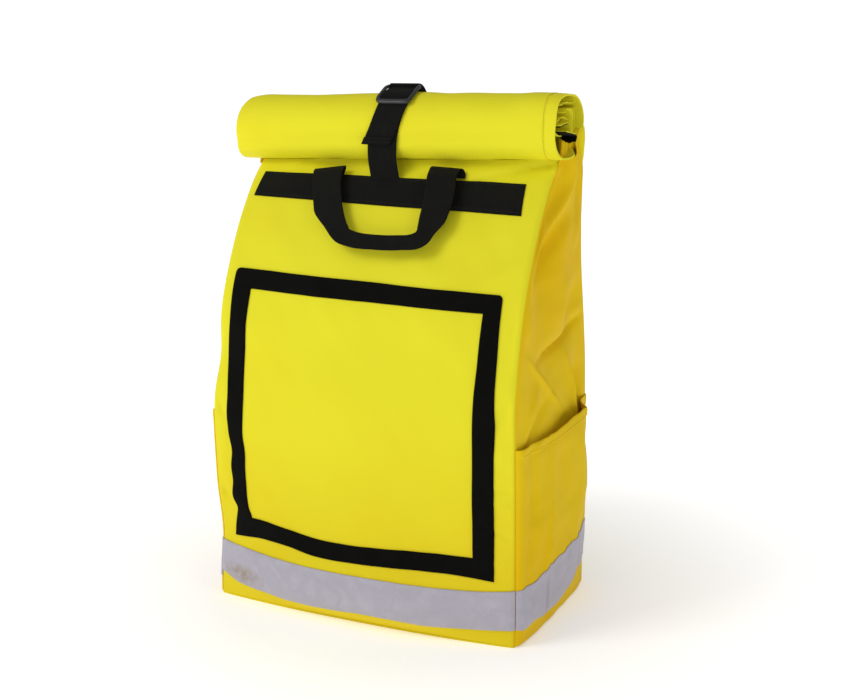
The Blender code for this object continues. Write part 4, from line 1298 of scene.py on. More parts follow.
# Edges of the loop tape frame as it was sewn, a little wavy: places across at rows, and rows
# at places across
FRAME_SIDES = Table(("row", "outer_left", "inner_left", "inner_right", "outer_right"), (
    (0.080, -0.1862, -0.1550, 0.1590, 0.1860),
    (0.100, -0.1835, -0.1550, 0.1590, 0.1860),
    (0.114, -0.1800, -0.1560, 0.1590, 0.1858),
    (0.121, -0.1785, -0.1590, 0.1588, 0.1857),
    (0.133, -0.1845, -0.1610, 0.1588, 0.1856),
    (0.160, -0.1820, -0.1612, 0.1586, 0.1854),
    (0.179, -0.1830, -0.1608, 0.1584, 0.1853),
    (0.200, -0.1803, -0.1600, 0.1582, 0.1852),
    (0.225, -0.1850, -0.1625, 0.1580, 0.1851),
    (0.245, -0.1868, -0.1620, 0.1578, 0.1850),
    (0.280, -0.1855, -0.1610, 0.1575, 0.1845),
    (0.330, -0.1905, -0.1628, 0.1586, 0.1832),
    (0.370, -0.1895, -0.1640, 0.1590, 0.1820),
    (0.410, -0.1910, -0.1642, 0.1590, 0.1806),
    (0.436, -0.1900, -0.1640, 0.1590, 0.1800),
))
FRAME_ENDS = Table(("across", "outer_low", "inner_low", "inner_high", "outer_high"), (
    (-0.192, 0.0849, 0.1135, 0.4086, 0.4326),
    (-0.147, 0.0896, 0.1146, 0.4084, 0.4326),
    (-0.105, 0.0886, 0.1100, 0.4084, 0.4324),
    (-0.058, 0.0841, 0.1052, 0.4086, 0.4322),
    (-0.010, 0.0839, 0.1050, 0.4088, 0.4322),
    (0.040, 0.0850, 0.1072, 0.4090, 0.4320),
    (0.090, 0.0868, 0.1094, 0.4092, 0.4318),
    (0.138, 0.0878, 0.1112, 0.4094, 0.4317),
    (0.169, 0.0860, 0.1118, 0.4096, 0.4316),
    (0.188, 0.0840, 0.1120, 0.4096, 0.4316),
))
BAND_EDGES = Table(("across", "low", "high"), (
    (-0.2105, 0.0325, 0.0742),
    (-0.196, 0.0312, 0.0742),
    (-0.186, 0.0290, 0.0740),
    (-0.176, 0.0268, 0.0740),
    (-0.155, 0.0262, 0.0740),
    (-0.135, 0.0262, 0.0740),
    (-0.090, 0.0242, 0.0738),
    (-0.029, 0.0250, 0.0732),
    (0.018, 0.0282, 0.0730),
    (0.060, 0.0284, 0.0730),
    (0.102, 0.0252, 0.0730),
    (0.140, 0.0248, 0.0731),
    (0.182, 0.0235, 0.0732),
    (0.2105, 0.0232, 0.0740),
))


def soft_lines(low: float, high: float, step: float, edge: float) -> tuple[Array, Array]:
    """Places from low to high and the share of thickness there, which `rounded` gives."""
    count = max(2, math.ceil((high - low - 2.0 * edge) / step) + 1)
    places, share = rounded(count, high - low, edge)
    return places + (low + high) / 2.0, share


def wall_patch(name: str, surface: Surface, a: tuple[Array, Array], b: tuple[Array, Array],
               gap: float, thickness: float, out: float = 1.0) -> Piece:
    """Strip sewn flat on a wall, its top face rounded down to the wall at its edges.

    Args:
        name: Name of the piece.
        surface: The wall's surface.
        a: Places along the first parameter and their shares of thickness.
        b: The same along the second.
        gap: Space between the wall and the strip.
        thickness: Thickness of the strip.
        out: 1 if the surface's normal points out of the bag, else -1.

    Returns:
        The new object.
    """
    first, second = np.meshgrid(a[0], b[0], indexing="ij")
    share = np.minimum(a[1][:, None], b[1][None, :])
    top = lifted(surface, first, second, out * (gap + thickness * share))
    return sheet(name, top, lifted(surface, first, second, out * gap))


@dataclass
class Walls:
    """The base and the four walls of coated cloth."""

    form: BagForm
    step: float = 0.0030
    corner_step: float = 0.0010
    corner_reach: float = 0.0120
    base_step: float = 0.0150

    @property
    def rows(self) -> Array:
        """Heights on the flat cloth, from the base seam to the mouth."""
        return lines(self.form.wall + self.form.seam, self.form.height, self.step)

    def across(self) -> Array:
        """Places across the front and the back, closer together near the corners."""
        end = self.form.half_width
        near = lines(end - self.corner_reach, end, self.corner_step)
        return np.concatenate((-near[::-1], lines(-near[0], near[0], self.step)[1:-1], near))

    def along(self) -> Array:
        """Shares of the way back along a side wall, closer together near the corners."""
        near = lines(0.0, self.corner_reach / self.form.depth, self.corner_step / self.form.depth)
        middle = lines(near[-1], 1.0 - near[-1], self.step / self.form.depth)[1:-1]
        return np.concatenate((near, middle, 1.0 - near[::-1]))

    def wall(self, name: str, surface: Surface, first: Array, inward: float) -> Piece:
        """One wall as a sheet of cloth, its inner face one thickness in."""
        a, row = np.meshgrid(first, self.rows, indexing="ij")
        inner = lifted(surface, a, row, inward * self.form.cloth)
        inner[0] += 0.8 * (inner[0] - inner[1])
        inner[-1] += 0.8 * (inner[-1] - inner[-2])
        return sheet(name, surface(a, row), inner)

    def base(self) -> Piece:
        """The flat base, between the feet of the four walls."""
        foot = self.form.wall + self.form.seam
        half, shares = self.form.half_width, np.linspace(0.0, 1.0, 19)
        side_x = self.form.side(Side.RIGHT, shares, np.full(shares.shape, foot))[:, 0]
        across, along = np.meshgrid(lines(-1.0, 1.0, self.base_step / half), shares, indexing="ij")
        x = across * side_x[None, :]
        inside = np.clip(x, -0.999 * half, 0.999 * half)
        front_y = self.form.front(inside, np.full(x.shape, foot))[..., 1]
        y = front_y + (self.form.half_depth - front_y) * along
        low = np.stack((x, y, np.zeros_like(x)), axis=-1)
        return sheet("base_cloth", low + (0.0, 0.0, self.form.wall), low)

    def build(self) -> None:
        """Makes and dresses the base and the walls."""
        cloth = Palette.CLOTH
        Palette.dress(self.base(), cloth, "base_panel")
        Palette.dress(self.wall("front_cloth", self.form.front, self.across(), -1.0), cloth, "front_panel")
        Palette.dress(self.wall("back_cloth", self.form.back, self.across(), 1.0), cloth, "back_panel")
        for side in Side:
            surface = self.form.side_surface(side)
            wall = self.wall("side_cloth_" + side.label, surface, self.along(), -side.value)
            # The side walls take the copy of the cloth that is painted deeper as painted shade.
            Palette.dress(wall, Palette.SIDE_CLOTH, "side_panel_" + side.label)


@dataclass
class SidePocket:
    """Flat open pocket over the lower half of a side wall, with its band and its hem."""

    form: BagForm
    side: Side
    walls: Walls
    hem: float = 0.0110
    hem_stand: float = 0.0007
    seam_back: float = 0.0008
    tape: float = 0.0008

    def build(self) -> None:
        """Makes and dresses the pocket, its hem's stitches and its reflective band."""
        label, out = self.side.label, self.side.value
        surface = self.form.pocket_surface(self.side)
        along = np.concatenate(([self.seam_back / self.form.depth], self.walls.along()[3:]))
        rows = lines(self.form.wall + self.form.seam, self.form.pocket_top, self.walls.step)
        hem_rows = self.form.pocket_top - np.array([0.0008, 0.0016, self.hem - 0.0006, self.hem + 0.0006])
        rows = np.sort(np.concatenate((rows, hem_rows)))
        a, row = np.meshgrid(along, rows, indexing="ij")
        fold = self.hem_stand * smooth_step((row - self.form.pocket_top + self.hem) / 0.0012)
        lip = self.hem_stand * (1.0 - np.clip((self.form.pocket_top - row) / 0.0016, 0.0, 1.0)) ** 2
        outer = lifted(surface, a, row, out * (fold - lip) * smooth_step(a / 0.03))
        inner = lifted(surface, a, row, -out * self.form.cloth)
        # The pocket takes the copy of the cloth that is painted deeper as painted shade.
        Palette.dress(sheet("pocket_" + label, outer, inner), Palette.SIDE_CLOTH, "side_pocket_" + label)
        places = lines(0.03, 0.97, 0.01)
        seam_row = np.full(places.shape, self.form.pocket_top - self.hem + 0.002)
        path, normal = surface_seam(surface, places, seam_row, out * self.hem_stand)
        stitches = stitch_row("pocket_stitches_" + label, path, out * normal, 0.0026, 0.0008, 0.0006)
        Palette.dress(stitches, Palette.THREAD)
        self.band(surface, label, out)

    def band(self, surface: Surface, label: str, out: float) -> None:
        """The reflective band's run over the pocket."""
        def between_edges(along: Array, share: Array) -> Array:
            """The pocket between the band's two edges, where share is 0 and 1."""
            low = BAND_SIDE_EDGES.at("low", along)
            return surface(along, low + (BAND_SIDE_EDGES.at("high", along) - low) * share)

        depth = self.form.depth
        columns = soft_lines(self.seam_back / depth, 1.0, 0.7 * self.walls.step / depth, 0.004)
        rows = soft_lines(0.0, 1.0, 0.05, 0.016)
        band = wall_patch("band_" + label, between_edges, columns, rows, 0.0004, self.tape, out)
        Palette.dress(band, Palette.REFLECTIVE, "reflective_band_" + label)


@dataclass
class FrontStrips:
    """What is sewn flat on the front: the band, the loop tape frame and the webbing."""

    form: BagForm
    step: float = 0.0025
    gap: float = 0.0005
    tape: float = 0.0009
    band_edge: float = 0.015
    loop: float = 0.0016
    webbing: float = 0.0017
    corner: float = 0.0065
    frame_low: float = 0.084
    frame_high: float = 0.432
    frame_left: float = -0.188
    frame_right: float = 0.183
    frame_tape: float = 0.026
    webbing_left: float = -0.1935
    webbing_right: float = 0.1795
    webbing_low: float = 0.5200
    webbing_high: float = 0.5525

    def band_surface(self, x: Array, share: Array) -> Array:
        """The front between the band's two wavy edges; share goes from 0 to 1 between them."""
        low = BAND_EDGES.at("low", x)
        row = low + (BAND_EDGES.at("high", x) - low) * share
        relief = np.maximum(fold_relief(BAND_CRINKLES, x, row) + 0.0004, 0.0)
        return lifted(self.form.front, x, row, self.gap + relief)

    def band(self) -> Piece:
        """Reflective band over the foot of the front."""
        end = self.form.half_width
        x = soft_lines(-end, end, self.step, 0.0012)[0]
        a, b = np.meshgrid(x, soft_lines(0.0, 1.0, 0.05, self.band_edge)[0], indexing="ij")
        share = np.sqrt(np.clip(np.minimum(b, 1.0 - b) / self.band_edge, 0.05, 1.0))
        under = self.band_surface(a, b)
        row = self.form.band_low + self.form.band_width * b
        out = lifted(self.form.front, a, row, 1.0) - self.form.front(a, row)
        return sheet("band_front", under + out * (self.tape * share)[..., None], under)

    def frame_point(self, x: Array, row: Array, lift: Array | float) -> Array:
        """Point of the loop tape frame.

        The plain frame is stretched so that its four edges each way follow the sewn ones,
        after its top corners are rounded: inside a corner's square, a circle of the same
        reach takes the square's place.

        Args:
            x: Place across on the plain frame.
            row: Row on the plain frame.
            lift: Distance off the wall.

        Returns:
            Points on the front wall.
        """
        right = x > 0.0
        centre_x = np.where(right, self.frame_right - self.corner, self.frame_left + self.corner)
        centre_row = self.frame_high - self.corner
        p = (x - centre_x) / self.corner
        q = (row - centre_row) / self.corner
        inside = (np.where(right, p, -p) > 0.0) & (q > 0.0)
        round_x = centre_x + self.corner * p * np.sqrt(1.0 - np.clip(q, 0.0, 1.0) ** 2 / 2.0)
        round_row = centre_row + self.corner * q * np.sqrt(1.0 - np.clip(np.abs(p), 0.0, 1.0) ** 2 / 2.0)
        x, row = np.where(inside, round_x, x), np.where(inside, round_row, row)
        bar = self.frame_tape
        plain_x = (self.frame_left, self.frame_left + bar, self.frame_right - bar, self.frame_right)
        plain_row = (self.frame_low, self.frame_low + bar, self.frame_high - 0.9 * bar, self.frame_high)
        moved_x = self.stretch(x, plain_x, FRAME_SIDES, row)
        moved_row = self.stretch(row, plain_row, FRAME_ENDS, x)
        return lifted(self.form.front, moved_x, moved_row, lift)

    @staticmethod
    def stretch(place: Array, plain: Sequence[float], table: Table, other: Array) -> Array:
        """Places moved so that four plain edges meet the table's edges, evenly between them."""
        result = np.zeros(place.shape)
        edges = [table.at(name, other) for name in table.columns[1:]]
        for k in range(3):
            share = (place - plain[k]) / (plain[k + 1] - plain[k])
            here = (place >= plain[k]) if k == 2 else (place >= plain[k]) & (place < plain[k + 1])
            here = here | ((place < plain[0]) if k == 0 else False)
            result = np.where(here, edges[k] + share * (edges[k + 1] - edges[k]), result)
        return result

    def frame(self) -> Piece:
        """The frame of loop tape, with worn-round edges."""
        edge = 0.0009
        bar = self.frame_tape
        inner_left, inner_right = self.frame_left + bar, self.frame_right - bar
        inner_low, inner_high = self.frame_low + bar, self.frame_high - 0.9 * bar
        left = soft_lines(self.frame_left, inner_left, self.step, edge)
        middle = lines(inner_left, inner_right, self.step)[1:-1]
        right = soft_lines(inner_right, self.frame_right, self.step, edge)
        low = soft_lines(self.frame_low, inner_low, self.step, edge)
        centre = lines(inner_low, inner_high, self.step)[1:-1]
        high = soft_lines(inner_high, self.frame_high, self.step, edge)
        x = np.concatenate((left[0], middle, right[0]))
        row = np.concatenate((low[0], centre, high[0]))
        a, b = np.meshgrid(x, row, indexing="ij")
        away_x = np.minimum(a - inner_left, inner_right - a)
        away_row = np.minimum(b - inner_low, inner_high - b)
        hole = np.minimum(away_x, away_row)
        outside_x = np.minimum(a - self.frame_left, self.frame_right - a)
        outside = np.minimum(outside_x, np.minimum(b - self.frame_low, self.frame_high - b))
        reach = np.clip(np.minimum(outside, -hole) / edge, 0.0, 1.0)
        share = np.sqrt(np.clip(1.0 - (1.0 - reach) ** 2, 0.0, 1.0))
        middle_x, middle_row = (x[1:] + x[:-1]) / 2.0, (row[1:] + row[:-1]) / 2.0
        inside_x = (middle_x > inner_left) & (middle_x < inner_right)
        inside_row = (middle_row > inner_low) & (middle_row < inner_high)
        keep = ~(inside_x[:, None] & inside_row[None, :])
        under = self.frame_point(a, b, self.gap)
        return sheet("loop_frame", self.frame_point(a, b, self.gap + self.loop * share), under, keep)

    def webbing_surface(self, x: Array, row: Array) -> Array:
        """The front under the webbing, which runs down to the right and has slanting ends."""
        lean = np.interp(x, (self.webbing_left, 0.0, self.webbing_right), (0.09, 0.0, -0.156))
        return self.form.front(x + lean * (row - self.webbing_low - 0.016), row - 0.0105 * x)

    def build(self) -> None:
        """Makes and dresses the strips and their stitches."""
        Palette.dress(self.band(), Palette.REFLECTIVE, "reflective_band_front")
        Palette.dress(self.frame(), Palette.LOOP, "loop_tape_frame")
        columns = soft_lines(self.webbing_left, self.webbing_right, self.step, 0.0009)
        rows = soft_lines(self.webbing_low, self.webbing_high, self.step, 0.0009)
        strap = wall_patch("front_webbing_strap", self.webbing_surface, columns, rows, self.gap, self.webbing)
        Palette.dress(strap, Palette.WEBBING, "front_webbing")
        x = lines(self.webbing_left + 0.003, self.webbing_right - 0.003, 0.004)
        inset = 0.0028
        for label, row in (("low", self.webbing_low + inset), ("high", self.webbing_high - inset)):
            level = np.full(len(x), row)
            path, normal = surface_seam(self.webbing_surface, x, level, self.gap + self.webbing)
            stitches = stitch_row("webbing_stitches_" + label, path, normal, 0.0028, 0.0009, 0.0006)
            Palette.dress(stitches, Palette.DARK_THREAD)


# Top edge of the pleated side wall in the roll's end, from the roll's centre line and out
# from half the bag's width, by the share back
GUSSET_TOP = Table(("share", "y", "z", "out"), (
    (0.00, -0.006, -0.0180, -0.0008),
    (0.30, 0.008, -0.0205, -0.0008),
    (0.55, 0.022, -0.0235, -0.0006),
    (0.75, 0.033, -0.0200, 0.0010),
    (0.88, 0.039, -0.0120, 0.0050),
    (1.00, 0.0412, -0.0020, 0.0090),
))
# Layers of cloth in the open ends of the roll, as (y, z) from its centre in millimetres
END_LAYERS = (
    ((-20.0, 15.0), (-14.0, 18.5), (-4.0, 19.0), (6.0, 17.5), (9.5, 12.0), (9.0, 2.0), (7.5, -10.0)),
    ((-29.0, 24.0), (-18.0, 26.0), (-6.0, 27.0), (6.0, 25.5), (20.0, 27.0)),
    ((12.0, 17.0), (15.0, 8.0), (14.0, -2.0), (18.0, -11.0)),
    ((-33.0, 4.0), (-24.0, 8.0), (-12.0, 9.5), (4.0, 6.0)),
    ((30.0, 20.0), (33.5, 8.0), (33.0, -4.0), (27.0, -13.0)),
    ((-31.0, -8.0), (-20.0, -12.0), (-8.0, -13.0)),
)
MOUTH_TAPES = {
    "mouth_tape_upper": ((-1.00, -0.06), (-0.60, 0.00), (-0.10, 0.04)),
    "mouth_tape_lower": ((-0.30, -0.32), (0.30, -0.40), (0.90, -0.48), (1.20, -0.56), (1.04, -0.78)),
}


@dataclass
class RolledTop:
    """The mouth rolled forward, with what shows in its open ends."""

    form: BagForm
    step: float = 0.0030
    turn_step: float = 5.0
    tape: float = 0.0015
    tape_length: float = 0.443
    slant: float = 0.0045
    recess: float = 0.0280
    layer_reach: float = 0.0400
    layer_step: float = 0.0015
    flap_drop: float = 0.0550
    core_back: float = 0.0340

    def build(self) -> None:
        """Makes and dresses the roll, the gussets in its ends and the mouth's tape."""
        half = self.form.roll_length / 2.0
        near = half - lines(0.0, 0.010, 0.001)[::-1]
        middle = lines(-near[0], near[0], self.step)[1:-1]
        x = np.concatenate((-near[::-1], middle, near)) + self.form.roll_shift
        start = self.form.roll_start
        degrees = lines(start, start + 360.0 * self.form.roll_turns, self.turn_step)
        a, turn = np.meshgrid(x, degrees, indexing="ij")
        a = self.cut(a, turn)
        outer = self.form.roll(a, turn)
        away = self.form.roll(a, turn, self.form.roll_layer)
        Palette.dress(sheet("roll_cloth", outer, away), Palette.CLOTH, "rolled_top")
        self.tapes()
        for side in Side:
            self.folded_end(side)
            self.gusset(side)
            self.flap(side)
            self.core(side)
        self.seam_stitches()

    def flap(self, side: Side) -> None:
        """The back wall's cloth that flares out to the roll's wider end.

        Down from the roll's outer turn, as wide as the overhang at the top and nothing at
        the foot, on the line of the back wall.

        Args:
            side: Which side.
        """
        s, t = np.meshgrid(np.linspace(0.0, 1.0, 13), np.linspace(0.0, 1.0, 6), indexing="ij")
        near = self.form.half_width - 0.0055
        end = self.form.roll_length / 2.0 + side.value * self.form.roll_shift - 0.0006
        x = near + (end - near) * (1.0 - smooth_step(s) * 0.88) * t
        level = self.form.roll_z - 0.0030 - self.flap_drop * s
        y = self.form.edge("back", level) - self.form.seam - 0.0012 * np.sin(math.pi * t)
        z = level + side.value * self.form.roll_tilt * x * (1.0 - s)
        outer = np.stack((side.value * x, y, z), axis=-1)
        inner = outer - (0.0, self.form.cloth, 0.0)
        Palette.dress(sheet("roll_flap_" + side.label, outer, inner), Palette.CLOTH)

    def core(self, side: Side) -> None:
        """The crumpled inner turns, which close the roll a little way in from its end.

        Args:
            side: Which side.
        """
        round_turn = np.linspace(0.0, 2.0 * math.pi, 61)
        reach, turn = np.meshgrid(np.linspace(0.02, 1.0, 12), round_turn, indexing="ij")
        radius = (self.form.roll_radius - self.form.roll_pitch) * 0.94 * reach
        y, z = radius * np.cos(turn), radius * np.sin(turn)
        crumple = 0.005 * np.sin(4.0 * turn + 5.0 * reach) * reach
        crumple = crumple + 0.008 * np.cos(z / 0.0042) * (1.0 - reach**4)
        x = self.form.roll_length / 2.0 + side.value * self.form.roll_shift - self.core_back + crumple
        z = z + self.form.roll_z + side.value * self.form.roll_tilt * x
        outer = np.stack((side.value * x, y + self.form.roll_y, z), axis=-1)
        inner = outer - (side.value * self.form.cloth, 0.0, 0.0)
        # The side copy of the cloth gives painted shade inside the roll's end.
        Palette.dress(sheet("roll_core_" + side.label, outer, inner), Palette.SIDE_CLOTH)

    def cut(self, x: Array, degrees: Array) -> Array:
        """Places across after the roll's ends are cut.

        The front half of the right end is shorter than the back half by a cosine round the
        roll, and the inner turns end further in at both ends.

        Args:
            x: Places across on the straight roll.
            degrees: Angle round it.

        Returns:
            Places across on the cut roll.
        """
        half = self.form.roll_length / 2.0
        along = (x - self.form.roll_shift) / half
        slant = self.slant * np.cos(np.radians(degrees)) - self.slant
        slant = slant + 0.0005 * np.sin(np.radians(degrees) * 5.0)
        inner = self.recess * smooth_step((degrees - 292.0) / 50.0)
        right = smooth_step((along - 0.80) / 0.20) * (slant - inner)
        left = smooth_step((-along - 0.80) / 0.20) * inner
        return x + right + left

    def ribbon_on_end(self, name: str, side: Side, path: Sequence[tuple[float, float]],
                      near: float, far: float) -> None:
        """Cloth with a section (y, z) from the roll's centre line, between two places across."""
        points = np.array([(0.0, y, z) for y, z in path]) / 1000.0 + (0.0, self.form.roll_y, self.form.roll_z)
        start, end = (np.array([1.0, 0.0, self.form.roll_tilt]) * side.value * place for place in (near, far))
        layer = ribbon(name, points + start, points + end, self.form.cloth)
        Palette.dress(layer, Palette.CLOTH)

    def folded_end(self, side: Side) -> None:
        """The layers of the mouth that show in an open end of the roll."""
        end = self.form.roll_length / 2.0 + side.value * self.form.roll_shift - 0.004
        for number, path in enumerate(END_LAYERS):
            name = "roll_layer_%d_%s" % (number, side.label)
            self.ribbon_on_end(name, side, path, end - self.layer_reach, end - self.layer_step * number)

    def gusset(self, side: Side) -> None:
        """The side wall's top, pleated up into the end of the roll.

        Between the wall's top edge and a line under the mouth's tape that climbs to the
        roll's outer turn at the back; each pleat is a cosine across, deeper upwards.

        Args:
            side: Which side.
        """
        s, t = np.meshgrid(np.linspace(0.0, 1.0, 61), np.linspace(0.0, 1.0, 21), indexing="ij")
        low_y, high_y = -0.013 + 0.054 * s, GUSSET_TOP.at("y", s)
        low_z, high_z = -0.0480 + 0.006 * s**2, GUSSET_TOP.at("z", s)
        y = self.form.roll_y + low_y + (high_y - low_y) * t
        z = self.form.roll_z + low_z + (high_z - low_z) * t
        pleat = 0.0024 * np.cos(2.0 * np.pi * 4.5 * s**0.9) * (0.35 + 0.65 * t) * smooth_step((1.0 - s) / 0.3)
        x = self.form.half_width + 0.0010 + (GUSSET_TOP.at("out", s) - 0.0010) * t**1.5 + pleat
        tilt = side.value * self.form.roll_tilt * self.form.half_width
        outer = np.stack((side.value * x, y, z + tilt), axis=-1)
        inner = outer - (side.value * self.form.cloth, 0.0, 0.0)
        # The side copy of the cloth gives painted shade inside the roll's end.
        Palette.dress(sheet("roll_gusset_" + side.label, outer, inner), Palette.SIDE_CLOTH)

    def seam_stitches(self) -> None:
        """Stitches along the seam near the right end."""
        degrees = lines(20.0, 268.0, 4.0)
        x = np.full(degrees.shape, self.form.roll_seam - 0.0018)
        path = self.form.roll(x, degrees, -0.0001)
        normal = self.form.roll(x, degrees, -1.0) - self.form.roll(x, degrees, 0.0)
        Palette.dress(stitch_row("roll_stitches", path, normal, 0.0028, 0.0009, 0.0006), Palette.THREAD)

    def tapes(self) -> None:
        """Two turns of the tape on the mouth, inside the roll."""
        inner = (self.form.roll_radius - self.form.roll_pitch) * 0.935
        hollow = inner * math.cos(math.radians(7.5)) - 0.0025 - self.form.seam
        middle = np.array([self.form.roll_shift, self.form.roll_y, self.form.roll_z])
        half = np.array([0.5, 0.0, 0.5 * self.form.roll_tilt]) * self.tape_length
        for name, path in MOUTH_TAPES.items():
            points = middle + hollow * np.array([(0.0, y, z) for y, z in path])
            webbing = name.replace("mouth_tape", "mouth_webbing")
            ends = ribbon(webbing, points - half, points + half, self.tape)
            Palette.dress(ends, Palette.WEBBING, name)
            over = points[:3] + (0.0, 0.0, (self.tape + self.form.cloth) / 2.0 + 0.0002)
            longer = half + (0.0006, 0.0, 0.0)
            cover = ribbon(name.replace("tape", "hem"), over - longer, over + longer, self.form.cloth)
            Palette.dress(cover, Palette.CLOTH)


@dataclass
class RollGuide:
    """The line a strap takes round the roll, seen from the bag's side as (y, z)."""

    form: BagForm
    webbing: float = 0.0015
    plate: float = 0.0024

    @property
    def radius(self) -> float:
        """Radius of a strap's middle on the roll."""
        return self.form.roll_radius + self.form.seam + self.form.roll_tilt * 0.02 + self.webbing / 2.0

    @property
    def layer(self) -> float:
        """Distance from one layer of strap to the next."""
        return self.webbing + self.form.seam

    @property
    def bend(self) -> float:
        """Radius of a strap's fold round a bar of the buckle."""
        return self.plate / 2.0 + self.form.seam + self.webbing / 2.0

    def point(self, radius: Array | float, degrees: Array | float) -> Array:
        """Point on a circle round the roll."""
        turn = np.radians(degrees)
        y = self.form.roll_y + radius * np.cos(turn)
        z = self.form.roll_z + radius * np.sin(turn)
        return np.stack(np.broadcast_arrays(y, z), axis=-1)

    def touch(self, point: Array, back: bool) -> float:
        """Angle where a straight line from a point touches the roll."""
        y, z = point[0] - self.form.roll_y, point[1] - self.form.roll_z
        bearing = math.degrees(math.atan2(z, y)) % 360.0
        reach = math.degrees(math.acos(min(1.0, self.radius / math.hypot(y, z))))
        return bearing + reach - 360.0 if back else bearing - reach

    def arc(self, start: float, end: float, radius_start: float, radius_end: float) -> Array:
        """Points round the roll between two angles, with the radius easing across."""
        degrees = np.linspace(start, end, max(2, math.ceil(abs(end - start) / 6.0) + 1))
        ease = smooth_step((degrees - start) / (end - start))
        return self.point(radius_start + (radius_end - radius_start) * ease, degrees)

    def fold(self, bar_radius: float, degrees: float, turn: float) -> Array:
        """Half circle round a bar, from under it to over it."""
        angle = math.radians(degrees)
        out = np.array([math.cos(angle), math.sin(angle)])
        ahead = turn * np.array([-math.sin(angle), math.cos(angle)])
        around = np.radians(np.linspace(0.0, 180.0, 9))[1:-1]
        middle = self.point(bar_radius, degrees)
        return middle + self.bend * (ahead * np.sin(around)[:, None] - out * np.cos(around)[:, None])


def across_path(path: Array, x_values: Sequence[float]) -> Array:
    """Points (x, y, z) from a path (y, z), its x going through values at shares of its length."""
    length = run_along(path)
    x = np.interp(length / length[-1], np.linspace(0.0, 1.0, len(x_values)), x_values)
    return np.column_stack((x, path))


